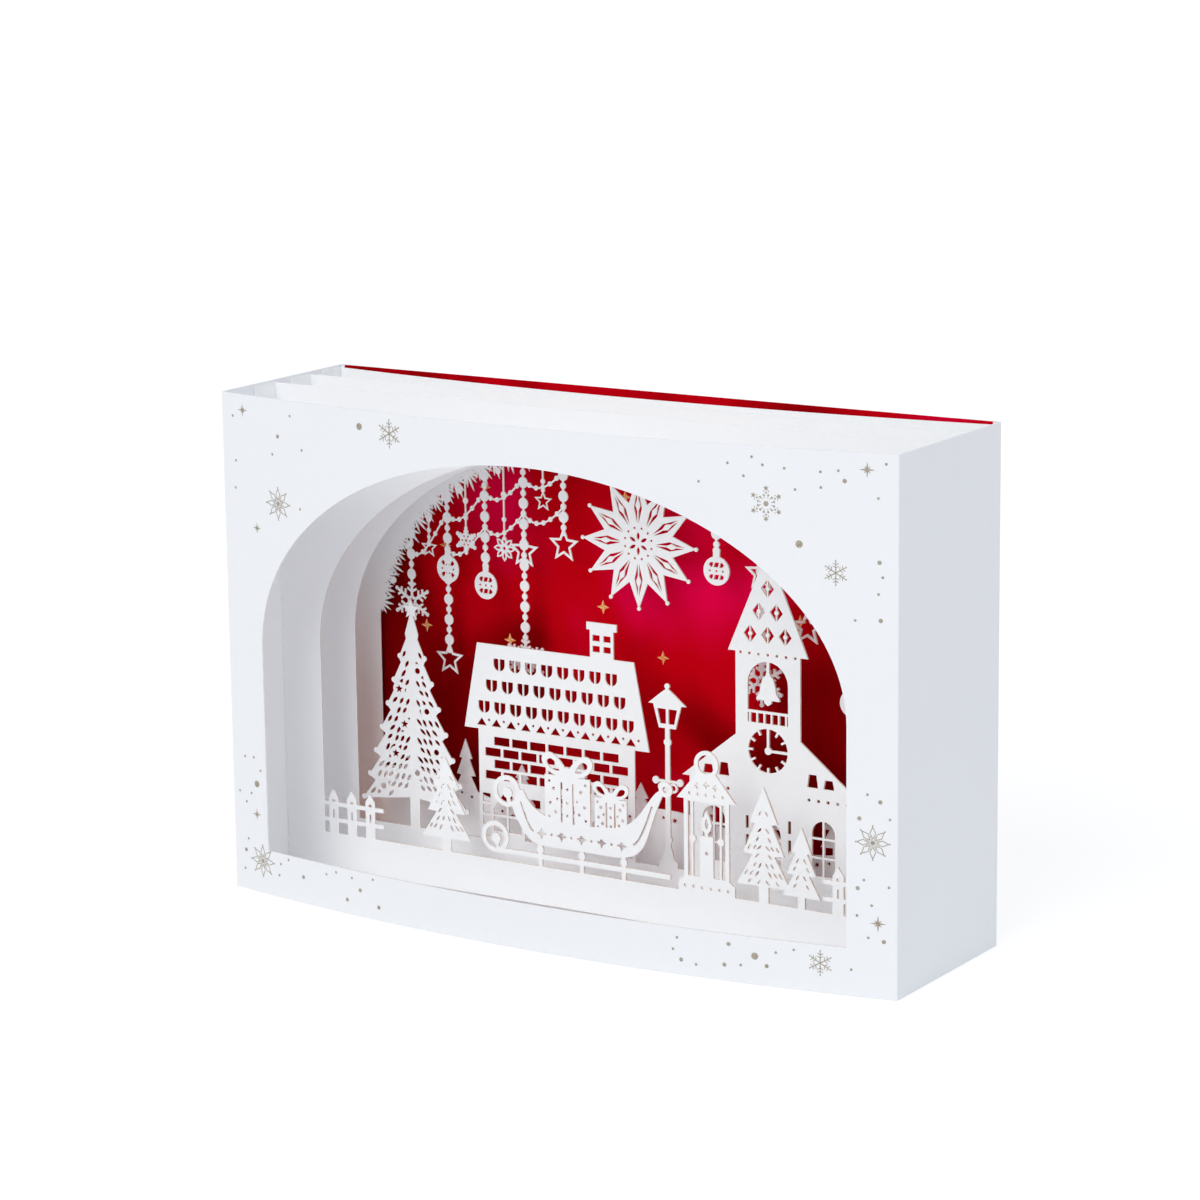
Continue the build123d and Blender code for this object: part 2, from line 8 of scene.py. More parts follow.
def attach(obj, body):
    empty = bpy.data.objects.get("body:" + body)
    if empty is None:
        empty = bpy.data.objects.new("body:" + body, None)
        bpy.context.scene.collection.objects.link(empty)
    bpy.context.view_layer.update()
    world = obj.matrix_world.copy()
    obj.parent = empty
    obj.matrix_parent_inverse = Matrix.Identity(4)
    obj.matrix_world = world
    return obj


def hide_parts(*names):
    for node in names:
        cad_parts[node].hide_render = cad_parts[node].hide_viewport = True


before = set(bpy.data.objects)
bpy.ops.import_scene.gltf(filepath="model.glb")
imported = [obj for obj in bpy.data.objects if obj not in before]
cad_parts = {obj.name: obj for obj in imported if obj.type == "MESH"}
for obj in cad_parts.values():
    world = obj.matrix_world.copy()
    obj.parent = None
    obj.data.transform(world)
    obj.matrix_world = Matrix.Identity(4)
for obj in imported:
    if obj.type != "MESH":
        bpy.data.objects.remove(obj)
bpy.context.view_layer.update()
scene = bpy.context.scene

MM = 0.001

# Sizes of the card in millimetres, as in the solids
CARD = 0.4
HALF_WIDTH = 89.7
HEIGHT = 120.0
FRONT_FOLD = -19.3
REAR_FOLD = 28.3
FRONT_BOW = 9.0
REAR_FLAP = 12.0
FRONT_HALF = 78.3
FRONT_SILL = 10.8
FRONT_SPRING = 60.0
FRONT_RISE = 51.0
LAYER_HALF = 89.25
LAYER_LOW = 0.6
LAYER_TOP = 119.4
WINDOW_HALF = 77.7
SILL = 10.4
SPRING = 57.5
RISE = 51.5
FOREGROUND_BACK = 0.9
MIDDLE_BACK = 15.1
REAR_BACK = 27.45
REAR_BOW = 6.6
TAB = 8.0
BACKING_FACE = 27.5
BACKING_CARD = 0.35
BACKING_HALF = 88.9
BAR = 0.9
ROOT = 1.2
# The foreground layer stands higher here than in the solids, to show the thin slit under it
FOREGROUND_LOW = 1.17
# Places of the figures, as shares of the window's half width from its middle
FIR_PLACE, COTTAGE_PLACE, LAMP_PLACE, TOWER_PLACE, SIDE_FIR_PLACE = -0.785, -0.257, 0.142, 0.489, 0.869
SLEIGH_PLACE, LANTERN_PLACE, YOUNG_FIR_PLACE, LONE_FIR_PLACE = -0.05, 0.386, 0.579, -0.54
FENCE_X = 69.6


# flat shapes, as lists of points in millimetres

def circle(radius, x=0.0, z=0.0, count=20, turn=0.0):
    return [(x + radius * cos(turn + 2 * pi * k / count), z + radius * sin(turn + 2 * pi * k / count))
            for k in range(count)]


def block(x, z, wide, tall):
    return [(x - wide / 2, z - tall / 2), (x + wide / 2, z - tall / 2),
            (x + wide / 2, z + tall / 2), (x - wide / 2, z + tall / 2)]


def star(outer, inner, tips, x=0.0, z=0.0, turn=0.0):
    spokes = [(inner if k % 2 else outer, pi / 2 + turn + pi * k / tips) for k in range(2 * tips)]
    return [(x + reach * cos(angle), z + reach * sin(angle)) for reach, angle in spokes]


def stroke(a, b, wide_a, wide_b=None):
    wide_b = wide_a if wide_b is None else wide_b
    dx, dz = b[0] - a[0], b[1] - a[1]
    length = hypot(dx, dz)
    nx, nz = -dz / length / 2, dx / length / 2
    return [(a[0] - nx * wide_a, a[1] - nz * wide_a), (b[0] - nx * wide_b, b[1] - nz * wide_b),
            (b[0] + nx * wide_b, b[1] + nz * wide_b), (a[0] + nx * wide_a, a[1] + nz * wide_a)]


def leaf(a, b, wide):
    dx, dz = b[0] - a[0], b[1] - a[1]
    length = hypot(dx, dz)
    nx, nz = -dz / length * wide / 2, dx / length * wide / 2
    belly = ((0.25, 0.8), (0.5, 1.0), (0.75, 0.75))
    right = [(a[0] + dx * t - nx * w, a[1] + dz * t - nz * w) for t, w in belly]
    left = [(a[0] + dx * t + nx * w, a[1] + dz * t + nz * w) for t, w in belly]
    return [a] + right + [b] + left[::-1]


def spread(count, pitch):
    """Places of a row, from its middle."""
    return [(k - (count - 1) / 2) * pitch for k in range(count)]


def arched_window(half, sill, spring, rise, count=96):
    points = [(-half, sill), (half, sill)]
    points += [(half * cos(pi * k / count), spring + rise * sin(pi * k / count)) for k in range(count + 1)]
    return points


def mirrored(right):
    return right + [(-x, z) for x, z in reversed(right) if abs(x) > 1e-6]


def ribbon(points, wide):
    """Outline of an even strip along a line of points."""
    left, right = [], []
    for k, (x, z) in enumerate(points):
        ax, az = points[max(k - 1, 0)]
        bx, bz = points[min(k + 1, len(points) - 1)]
        length = hypot(bx - ax, bz - az)
        nx, nz = -(bz - az) / length * wide / 2, (bx - ax) / length * wide / 2
        left.append((x + nx, z + nz))
        right.append((x - nx, z - nz))
    return left + right[::-1]


def bezier(a, b, c, d, count=16):
    points = []
    for k in range(count + 1):
        t = k / count
        s = 1 - t
        w = (s ** 3, 3 * s * s * t, 3 * s * t * t, t ** 3)
        points.append(tuple(sum(wi * p[axis] for wi, p in zip(w, (a, b, c, d))) for axis in (0, 1)))
    return points


def on(points):
    return (True, points)


def off(points):
    return (False, points)


def moved(shapes, x=0.0, z=0.0, scale=1.0, turn=0.0):
    return [(keep, [(x + scale * (px * cos(turn) - pz * sin(turn)),
                     z + scale * (px * sin(turn) + pz * cos(turn))) for px, pz in points])
            for keep, points in shapes]


def around(shapes, count, turn=0.0):
    """Copies of some shapes, spread evenly around their middle, each copy a list of its own."""
    return [moved(shapes, turn=turn + 2 * pi * k / count) for k in range(count)]


def inside(point, outline):
    x, z = point
    odd = False
    for (ax, az), (bx, bz) in zip(outline, outline[1:] + outline[:1]):
        if (az > z) != (bz > z) and x < ax + (z - az) / (bz - az) * (bx - ax):
            odd = not odd
    return odd


def needles(outline, trunk, low, high, pitch_x, pitch_z, length, wide, margin, seed):
    """Rows of slanted slits that fill an outline on both sides of its trunk."""
    rng = random.Random(seed)
    widest = 20
    clearance = ((margin, 0), (0, margin), (0, -margin), (-0.01, 0))
    shapes = []
    z, row = low, 0
    while z < high:
        x = trunk + (row % 2) * pitch_x / 2
        while x <= widest:
            lean = radians(rng.uniform(42, 62))
            reach = length * rng.uniform(0.8, 1.1)
            slit = leaf((x, z), (x + reach * cos(lean), z - reach * sin(lean)), wide)
            if all(inside((px + dx, pz + dz), outline) for px, pz in slit for dx, dz in clearance):
                shapes += [off(slit), off([(-px, pz) for px, pz in slit])]
            x += pitch_x
        z += pitch_z
        row += 1
    return shapes


# figures of the rear layer

def bead_string(drop):
    pitch, big, small = 5.0, 1.35, 0.8
    shapes = [on(block(0, (ROOT - drop) / 2, 0.55, drop + ROOT))]
    for k in range(int(drop / pitch)):
        shapes += [on(circle(big, 0, -(k + 0.5) * pitch, 16)), on(circle(small, 0, -(k + 1) * pitch, 12))]
    return shapes


def snowflake(size):
    arm = [on(stroke((0, 0), (size, 0), 0.75))]
    for start, reach in ((0.42, 0.3), (0.68, 0.24)):
        a = (start * size, 0)
        for side in (-1, 1):
            b = (a[0] + reach * size * cos(pi / 3), side * reach * size * sin(pi / 3))
            arm.append(on(stroke(a, b, 0.6)))
    arm.append(on(circle(0.5, size, 0, 10)))
    middle = [on(circle(0.28 * size, count=6, turn=pi / 2)), off(star(0.19 * size, 0.08 * size, 6))]
    return sum(around(arm, 6, pi / 2), []) + middle


def open_star(size):
    return [on(star(size, 0.45 * size, 5)), off(star(0.68 * size, 0.306 * size, 5)),
            on(circle(0.55, 0, size, 10))]


def bauble(size):
    shapes = [on(circle(size, count=28)), on(block(0, 1.12 * size, 0.5 * size, 0.36 * size)),
              on(circle(0.28 * size, 0, 1.38 * size, 12))]
    band = ((-0.6, 0), (-0.45, 0.17), (0.45, 0.17), (0.6, 0), (0.45, -0.17), (-0.45, -0.17))
    for z in (0.42 * size, -0.42 * size):
        shapes.append(off([(x * size, z + rise * size) for x, rise in band]))
        for x in (-0.22 * size, 0.22 * size):
            shapes.append(on(stroke((x - 0.2, z - 0.2 * size), (x + 0.2, z + 0.2 * size), 0.35)))
    shapes += [off(circle(0.33, x * size, 0, 4)) for x in (-0.5, 0.0, 0.5)]
    return shapes


def petal_flower(size):
    petal = [on(leaf((0, 0), (0, size), 0.5 * size)),
             off(leaf((0, 0.34 * size), (0, 0.82 * size), 0.2 * size))]
    return [on(circle(0.3 * size, count=16)), *sum(around(petal, 8), []), off(circle(0.13 * size, count=10))]


def rosette(size, tips):
    turn, wide = pi / tips / 2, 0.55 * size
    side_x, side_z = wide * cos(turn), wide * sin(turn)
    kite = [off([(0.26 * size, 0), (side_x, side_z), (0.86 * size, 0), (side_x, -side_z)]),
            on([(x * size, z * size) for x, z in ((0.47, 0), (0.58, 0.045), (0.7, 0), (0.58, -0.045))]),
            on(stroke((0.25 * size, 0), (0.88 * size, 0), 0.34))]
    dot = [off(circle(0.3, 0.24 * size, 0, 8))]
    slit = [off(leaf((0.05 * size, 0), (0.18 * size, 0), 0.055 * size))]
    rings = (around(kite, tips, pi / 2), around(dot, tips, pi / 2 + pi / tips), around(slit, 6, pi / 2),
             around([on(circle(0.5, size, 0, 10))], tips, pi / 2))
    return [on(star(size, 0.62 * size, tips))] + [shape for ring in rings for copy in ring for shape in copy]


def fir_outline(tall, wide):
    right = ((0.09, 0.14), (0.5, 0.14), (0.2, 0.41), (0.38, 0.42), (0.15, 0.68), (0.26, 0.69), (0, 1))
    return mirrored([(0.09 * wide, -ROOT)] + [(x * wide, z * tall) for x, z in right])


def plain_fir(tall, wide, seed):
    outline = fir_outline(tall, wide)
    return [on(outline)] + needles(outline, 0.5, 0.2 * tall, 0.95 * tall, pitch_x=1.35, pitch_z=2.0,
                                   length=1.7, wide=0.55, margin=0.42, seed=seed)


def crest(x):
    return 9.0 + 3.0 * sin(0.085 * x + 1)


def hills():
    reach, steps, pitch = WINDOW_HALF + ROOT, 48, 3.1
    places = [reach * (1 - 2 * k / steps) for k in range(steps + 1)]
    shapes = [on([(-reach, -ROOT), (reach, -ROOT)] + [(x, crest(x)) for x in places])]
    for k in range(-24, 25):
        x = pitch * k
        z = crest(x) - 2.0
        shapes.append(off(circle(0.38, x, z, 10) if k % 3 else star(0.85, 0.38, 6, x, z - 0.3)))
    return shapes


# figures of the middle layer

def lace_fir(tall, wide, rows):
    trunk = 0.1 * tall
    row = (tall - trunk) / rows
    reach = [0.5 * wide * (1 - k / rows) for k in range(rows + 1)]
    right = [(1.6 * BAR, -ROOT), (1.6 * BAR, trunk + 0.3 * row)]
    for k in range(rows):
        right.append((reach[k], trunk + k * row))
        if k < rows - 1:
            right.append((0.86 * reach[k + 1], trunk + (k + 0.8) * row))
    right.append((0, tall))
    outline = mirrored(right)
    shapes = [on(outline)]
    shapes += needles(outline, 1.0, trunk + 0.5 * row, tall - 3, pitch_x=1.75, pitch_z=2.35, length=2.3,
                      wide=0.85, margin=0.45, seed=11)
    balls = ((-9.2, 9.2), (8.0, 8.4), (0.9, 13.6), (-5.4, 17.8), (6.6, 19.4), (-2.6, 25.4), (4.0, 29.2),
             (-4.0, 34.0), (1.5, 39.0))
    for k, (x, z) in enumerate(balls):
        shapes.append(on(circle(1.75, x, z, 18)))
        shapes.append(off(star(1.15, 0.52, 5, x, z)) if k % 2 else off(circle(0.75, x, z, 12)))
    for k in range(rows - 1):
        for side in (-1, 1):
            shapes.append(on(circle(0.7, side * (reach[k] - 0.3), trunk + k * row + 0.35, 12)))
    shapes.append(on(star(2.6, 1.1, 5, 0, tall)))
    return shapes


def arch_points(wide, tall, x=0.0, z=0.0):
    half = wide / 2
    return [(x + px, z + pz) for px, pz in arched_window(half, 0, tall - half, half, 12)]


def glazing(wide, tall, x, z):
    thin = 0.5
    return [off(arch_points(wide, tall, x, z)), on(block(x, z + tall / 2, thin, tall)),
            on(block(x, z + tall / 3, wide, thin)), on(block(x, z + 0.68 * tall, wide, thin))]


def cottage():
    width, wall, roof, eave, ridge = 44.0, 27.0, 21.0, 4.0, 48.0
    brick, course_tall, gap = 4.4, 2.1, 0.72
    window_w, window_h, window_x = 8.0, 11.4, 14.0
    door_w, door_h = 7.4, 12.0
    tile_pitch, tile_half, icicle_pitch = 4.5, 1.6, 4.2
    half, chimney = width / 2, 0.3 * width
    shapes = [on(mirrored([(half, -ROOT), (half, wall), (half + eave, wall), (half, ridge)])),
              on(block(chimney, ridge + 3.3, 6.5, 8.4)), on(block(chimney, ridge + 7.5, 8.3, 1.8))]
    stretch, course = brick + gap, course_tall + gap
    bricks = int((width - 2 * BAR) / stretch)
    band = window_h + 3.5 * BAR
    for row in range(4):
        for x in spread(bricks - row % 2, stretch):
            shapes.append(off(block(x, band + (row + 0.5) * course, brick, course_tall)))
    inner, outer = window_x - window_w / 2, window_x + window_w / 2
    for row in range(4):
        z = 2 * BAR + row * course
        for side in (-1, 1):
            x = side * (inner + door_w / 2) / 2
            wide = inner - door_w / 2 - 2 * BAR
            if row % 2:
                shapes.append(off(block(x, z, wide, course_tall)))
            else:
                shapes += [off(block(x + end * wide * 0.29, z, wide * 0.42, course_tall)) for end in (-1, 1)]
            shapes.append(off(block(side * (outer + half) / 2, z, half - outer - 2 * BAR, course_tall)))
    for side in (-1, 1):
        x, z = side * window_x, window_h / 2 + 2 * BAR
        shapes.append(off(block(x, z, window_w, window_h)))
        for end in (-0.5, 0.5):
            drape = ((1, 0.5), (0, 0.5), (0.8, 0.12), (1, 0.02))
            shapes.append(on([(x + end * window_w * px, z + window_h * pz) for px, pz in drape]))
        shapes += [on(block(x, z, 0.55, window_h)), on(block(x, z - 0.12 * window_h, window_w, 0.55)),
                   on(block(x, z - window_h / 2, window_w + 1.2, 1.0))]
    for side in (-1, 1):
        for cut, wide in ((off, 0.5 * door_w - BAR), (on, 0.4)):
            shapes.append(cut(block(side * 0.25 * door_w, 0.36 * door_h + BAR, wide, 0.64 * door_h)))
    wreath = 0.44 * door_h + BAR
    shapes += [on(circle(2.0, 0, wreath, 20)), off(circle(1.05, 0, wreath, 14)),
               off(circle(0.28 * door_w, 0, door_h, 18))]
    for k in range(3):
        shapes += moved([on(block(0, 0, 0.4, 0.6 * door_w))], 0, door_h, turn=k * pi / 3)
    tile = [(tile_half, 1.1), (-tile_half, 1.1), (-tile_half, -0.3)]
    tile += [(-tile_half * cos(pi * k / 8), -0.3 - tile_half * sin(pi * k / 8)) for k in range(1, 8)]
    tile += [(tile_half, -0.3)]
    for row in range(3):
        z = wall + (row + 1.1) * (roof - 2 * BAR) / 3.6
        for x in spread(int(width / tile_pitch) + 1 - row, tile_pitch):
            shapes += [off([(x + px, z + pz) for px, pz in tile]), on(block(x, z - 0.3, 0.4, 3.2))]
    top = wall + BAR
    for x in spread(int(width / icicle_pitch) + 1, icicle_pitch):
        shapes += [off([(x - 1.4, top), (x + 1.4, top), (x, top + 1.9)]),
                   off(circle(0.35, x + icicle_pitch / 2, top + 1.5, 8))]
    for x in (-1.5, 1.5):
        for z in (-1.3, 1.3):
            shapes.append(off(block(chimney + x, ridge + 3.4 + z, 2.0, 1.5)))
    return shapes


def lamp_post():
    head, tall = 7.6, 41.0
    half, brim, neck = head / 2, tall - 2, tall - head
    bracket, low, high = 0.62 * neck, neck + 1.0, brim - 1.0
    right = [(2.6, -ROOT), (2.6, 1.2), (1.6, 2.0), (1.1, 4.0), (0.7, 5.0), (0.6, neck), (0.6 * half, neck),
             (half, brim), (1.35 * half, brim), (0.5 * half, tall + 0.6), (0, tall + 2)]
    shapes = [on(mirrored(right)), on(circle(0.7, 0, tall + 2.4, 12)), on(block(0, bracket, 6.5, 0.6))]
    for side in (-1, 1):
        shapes += [on(circle(0.9, side * 3.3, bracket, 14)), on(circle(1.2, side * 1.5, bracket - 1.5, 16)),
                   off(circle(0.65, side * 1.5, bracket - 1.5, 14)),
                   off([(side * 0.35, low), (side * 1.9, low), (side * 2.7, high), (side * 0.35, high)])]
    return shapes + [on(circle(1.1, 0, 0.2 * neck, 14)), on(circle(1.0, 0, 0.9 * neck, 14))]


def bell_tower():
    half, hall, hall_h = 8.5, 21.0, 23.0
    tower, spire, belfry, dial = 54.0, 24.0, 14.5, 5.2
    floor = tower - belfry - 2 * BAR
    clock = floor - dial - 1.3 * BAR
    low = hall_h + 1.2
    shapes = [on(mirrored([(hall, -ROOT), (hall, hall_h), (hall + 2, hall_h), (half, 1.5 * hall_h)]))]
    for side in (-1, 1):
        for x, tall in ((side * (half + 3.2), 3.06), (side * (half + 7.4), 2.16)):
            shapes.append(off([(x - 1.4, low), (x + 1.4, low), (x + 1.0, low + tall), (x - 1.0, low + tall)]))
        for k in range(5):
            shapes.append(off(circle(0.42, side * (half + 2.2 + 2.5 * k), hall_h - 1.8, 10)))
    shapes += [on(mirrored([(half, -ROOT), (half, tower), (half + 2, tower), (0, tower + spire)])),
               on(star(4.2, 1.8, 5, 0, tower + spire)), off(star(1.9, 0.85, 5, 0, tower + spire))]
    for row in range(3):
        z = tower + 4.4 + 5.4 * row
        for x in spread(3 - row, 4.6):
            shapes += [off([(x, z - 2.2), (x + 1.7, z), (x, z + 2.2), (x - 1.7, z)]),
                       on(circle(0.55, x, z, 8)), on(block(x, z, 0.3, 4.4))]
    shapes += [off(circle(0.36, x, tower - 0.2, 8)) for x in spread(7, 2.4)]
    shapes.append(off(arch_points(1.25 * half, belfry, 0, floor)))
    bell = [(0, -10.3), (0.9, -9.7), (1.0, -9.0), (3.1, -9.0), (2.9, -8.3), (2.2, -7.4), (1.9, -5.6),
            (1.4, -4.0), (0.6, -3.2), (0.35, -2.4), (0.35, ROOT)]
    shapes += moved([on(mirrored(bell))], 0, floor + belfry)
    shapes += [on(block(x, floor + 1.3, 0.45, 2.6)) for x in spread(6, 1.9)]
    shapes += [on(block(0, floor + 2.6, 1.25 * half, 0.6)), off(circle(dial, 0, clock, 32))]
    shapes += moved(sum(around([on(block(0, 4.65, 0.5, 1.3))], 12), []), 0, clock)
    shapes += [on(circle(0.9, 0, clock, 14)), on(block(0, clock + 2.4, 0.6, 5.6)),
               on(block(2.4, clock, 5.6, 0.6))]
    shapes += glazing(6.6, 13.0, 0, 2 * BAR)
    for side in (-1, 1):
        shapes += glazing(6.0, 13.0, side * (half + 6.0), 4 * BAR)
        shapes += [off(block(side * 5.6, z, 0.8, 3.0)) for z in (9.5, 14.0)]
    return shapes


# figures of the foreground layer

def parcel(size):
    """A tied parcel; its bow is drawn in shares of a loop's size, from the middle of the lid."""
    loop = 0.42 * size

    def curve(side, points, count=16):
        return bezier(*[(side * x * loop, size + z * loop) for x, z in points], count)

    shapes = [on(block(0, (size - ROOT) / 2, size, size + ROOT))]
    for side in (-1, 1):
        wing = curve(side, ((0, 0), (1.1, -0.2), (1.7, 0.75), (1.1, 1)))
        wing += curve(side, ((1.1, 1), (0.7, 1.15), (0.2, 0.6), (0, 0.15)))[1:]
        hole = curve(side, ((0.4, 0.22), (0.9, 0.15), (1.25, 0.6), (0.98, 0.72)), 8)
        hole += curve(side, ((0.98, 0.72), (0.75, 0.85), (0.5, 0.5), (0.4, 0.22)), 8)[1:-1]
        shapes += [on(wing), off(hole), off(block(side * 0.13 * size, 0.48 * size, 0.5, 0.8 * size))]
        for x, z, r in ((0.3, 0.74, 0.55), (0.38, 0.46, 0.4), (0.26, 0.3, 0.5), (0.4, 0.2, 0.35),
                        (0.22, 0.55, 0.35), (0.4, 0.88, 0.35)):
            shapes.append(off(circle(r, side * x * size, z * size, 4 if r > 0.45 else 10)))
    shapes.append(on(circle(0.26 * loop, 0, size + 0.15 * loop, 16)))
    return shapes + [off(circle(0.36, 0, (0.25 + 0.25 * k) * size, 10)) for k in range(3)]


def sleigh():
    """A sleigh; its curves are drawn in shares of the half length across, and in millimetres up."""
    half, tall, top, seat, keel, runner, ring, strut = 23.0, 17.0, 23.0, 11.0, 5.1, 2.4, 3.8, 6.0

    def curve(points, count):
        return bezier(*[(x * half, z) for x, z in points], count)

    outline = curve(((-0.9, tall), (-0.7, keel), (-0.6, keel), (-0.35, keel)), 20)
    outline += curve(((0.35, keel), (0.85, keel), (0.72, seat), (1, top)), 24)
    outline += curve(((1, top), (0.78, top), (0.75, seat + BAR), (0.3, seat + BAR)), 24)[1:]
    outline += curve(((0.3, seat + BAR), (-0.1, seat), (-0.55, seat - BAR), (-0.7, tall + BAR)), 20)[1:]
    shapes = [on(outline)]
    pitch, belt = 0.24 * half, (keel + seat) / 2
    shapes += [off(star(1.45, 0.62, 4, x, belt)) for x in spread(5, pitch)]
    shapes += [off(circle(0.36, x, belt, 10)) for x in spread(4, pitch)]
    for line, wide in ((((0.84, 18.5), (0.74, 12.0), (0.68, 9.6), (0.62, 8.8)), 0.5),
                       (((-0.73, 15.0), (-0.66, 10.5), (-0.62, 9.0), (-0.58, 8.2)), 0.45)):
        shapes.append(off(ribbon(curve(line, 12), wide)))
    for x in spread(3, 0.5 * half):
        shapes += [on(block(x, (strut - ROOT) / 2, 1.1, strut + ROOT)), on(circle(0.95, x, 4.1, 14))]
    shapes += [on(block(0, runner, 2.1 * half, 1.2)), on(circle(2 * BAR, half, top, 20)),
               off(circle(0.8, half, top, 14))]
    for x, z in ((-1.05 * half, runner + ring - 0.63), (-0.9 * half, tall)):
        shapes += [on(circle(ring, x, z, 32)), off(circle(ring - 1.1, x, z, 28)),
                   on(circle(1.3, x + 0.2, z - 0.4, 18)),
                   on(stroke((x + 0.2, z - 0.8), (x + 0.9, z - 3.2), 0.8))]
    return shapes


def lantern():
    wide, tall, ring = 15.0, 33.0, 3.2
    half, floor, glass = wide / 2, 0.1 * tall, 0.56 * tall
    roof = floor + glass
    crown = roof + 0.2 * tall
    candle = 0.55 * glass
    hang = crown + 0.6 * ring
    right = [(half, -ROOT), (half, floor - BAR), (0.8 * half, floor), (0.8 * half, roof), (1.05 * half, roof),
             (0.3 * half, crown)]
    shapes = [on(mirrored(right)), off(block(0, floor + glass / 2, 1.6 * half - 2.4 * BAR, glass - BAR))]
    for side in (-1, 1):
        shapes += [on(block(side * 3.75, floor + glass / 2, 0.5, glass)),
                   on(circle(0.9, side * 3.75, floor + glass * 0.5, 12))]
    shapes.append(on(block(0, floor + candle / 2 - BAR, 3.6, candle + 2 * BAR)))
    flame = [(0, 6), (0.9, 4.3), (1.4, 2.6), (0.9, 1.2), (0.35, 0.7), (0.35, -0.2)]
    shapes += moved([on(mirrored(flame))], 0, floor + candle)
    shapes += [off(leaf((0, floor + candle + 1.6), (0, floor + candle + 4.2), 0.9)),
               off(circle(0.45, 0, floor + candle * 0.6, 10))]
    shapes += [off(circle(0.4, x, roof + 1.4, 10)) for x in spread(5, 2.2)]
    shapes += [off(star(0.9, 0.42, 4, k * 2.4, roof + 3.7 - abs(k) * 0.4)) for k in (-1, 0, 1)]
    shapes += [on(circle(ring, 0, hang, 28)), off(circle(ring - 1.0, 0, hang, 24))]
    return shapes + [off(circle(0.4, x, 0.5 * floor - 0.4, 10)) for x in spread(6, 2.3)]


def fence():
    pitch, tall, count, half = 5.4, 11.0, 3, 1.4
    pale = mirrored([(half, -ROOT), (half, tall - 2), (0, tall)])
    shapes = []
    for x in spread(count, pitch):
        shapes += moved([on(pale), off(circle(0.5, 0, tall - 3.0, 10)), off(block(0, 4.6, 0.5, 2.6))], x)
    shapes += [on(block(0, z, count * pitch + 2 * ROOT, 1.0)) for z in (0.3 * tall, 0.66 * tall)]
    return shapes


# folded sheets

def bow_line(x, ends, half, bow, shift):
    if bow == 0:
        return ends + shift
    radius = (half ** 2 + bow ** 2) / (2 * bow)
    return ends - bow + radius - sqrt((radius - shift) ** 2 - x ** 2)


def plan(ends, half, bow, side, legs, steps):
    """Knots of a folded sheet seen from above: place along it, outer point, inner point, outward normal."""
    fold, tight = 0.3, 0.08
    inner_half = half - CARD
    knots = []
    for k in range(steps + 1):
        x = (half - fold) * k / steps
        inner_x = (inner_half - tight) * k / steps
        lean = asin(side * x / ((half ** 2 + bow ** 2) / (2 * bow))) if bow else 0.0
        knots.append((x, (x, bow_line(x, ends, half, bow, 0)),
                      (inner_x, bow_line(inner_x, ends, half, bow, side * CARD)),
                      (sin(lean), -side * cos(lean))))

    def corner(place, start, turn, inner_turn):
        for angle in (30, 60, 90):
            a = radians(start + angle)
            place += fold * pi / 6
            knots.append((place, (half - fold + fold * cos(a), turn + side * fold * sin(a)),
                          (inner_half - tight + tight * cos(a), inner_turn + side * tight * sin(a)),
                          (cos(a), side * sin(a))))
        return place

    inner_ends = bow_line(inner_half, ends, half, bow, side * CARD)
    place = corner(half - fold, -90, ends + side * fold, inner_ends + side * tight)
    far = ends + side * legs[0]
    if len(legs) == 1:
        knots.append((place + legs[0] - fold, (half, far), (inner_half, far), (1.0, 0.0)))
    else:
        place += legs[0] - 2 * fold
        turn, inner_turn = far - side * fold, far - side * (CARD + tight)
        knots.append((place, (half, turn), (inner_half, inner_turn), (1.0, 0.0)))
        place = corner(place, 0, turn, inner_turn)
        flap_end = half - legs[1]
        knots.append((place + legs[1] - fold, (flap_end, far), (flap_end, far - side * CARD), (0.0, side)))
    left = [(-s, (-o[0], o[1]), (-i[0], i[1]), (-n[0], n[1])) for s, o, i, n in knots[1:]]
    return left[::-1] + knots


def locate(knots, s):
    """Outer point, inner point and outward normal of the sheet at a place along it."""
    low = max(sum(knot[0] <= s for knot in knots[:-1]) - 1, 0)
    first, second = knots[low], knots[low + 1]
    t = min(max((s - first[0]) / (second[0] - first[0]), 0.0), 1.0)
    return [(a[0] + t * (b[0] - a[0]), a[1] + t * (b[1] - a[1])) for a, b in zip(first[1:], second[1:])]


def flat_mesh(groups, lines=(), low=0.0, high=0.0):
    """Points and triangles of a drawing: a place is card where any figure's last shape over it is card."""
    coords, faces, keeps, owner = [], [], [], []
    for g, shapes in enumerate(groups):
        for keep, points in shapes:
            area = sum(ax * bz - bx * az for (ax, az), (bx, bz) in zip(points, points[1:] + points[:1]))
            if area < 0:
                points = points[::-1]
            start = len(coords)
            coords += [Vector(p) for p in points]
            faces.append(list(range(start, start + len(points))))
            keeps.append(keep)
            owner.append(g)
    edges = []
    for s in lines:
        edges.append((len(coords), len(coords) + 1))
        coords += [Vector((s, low)), Vector((s, high))]
    verts, _, tris, _, _, origin = delaunay_2d_cdt(coords, edges, faces, 1, 1e-5, True)
    kept = []
    for tri, sources in zip(tris, origin):
        last = {}
        for f in sources:
            last[owner[f]] = max(f, last.get(owner[f], -1))
        if any(keeps[f] for f in last.values()):
            kept.append(tri)
    used = sorted({v for tri in kept for v in tri})
    index = {v: k for k, v in enumerate(used)}
    return [verts[v] for v in used], [tuple(index[v] for v in tri) for tri in kept]


def add_piece(mesh):
    """Puts a finished mesh on the one body, under the mesh's own name."""
    mesh.update()
    piece = bpy.data.objects.new(mesh.name, mesh)
    scene.collection.objects.link(piece)
    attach(piece, "root")
    return piece


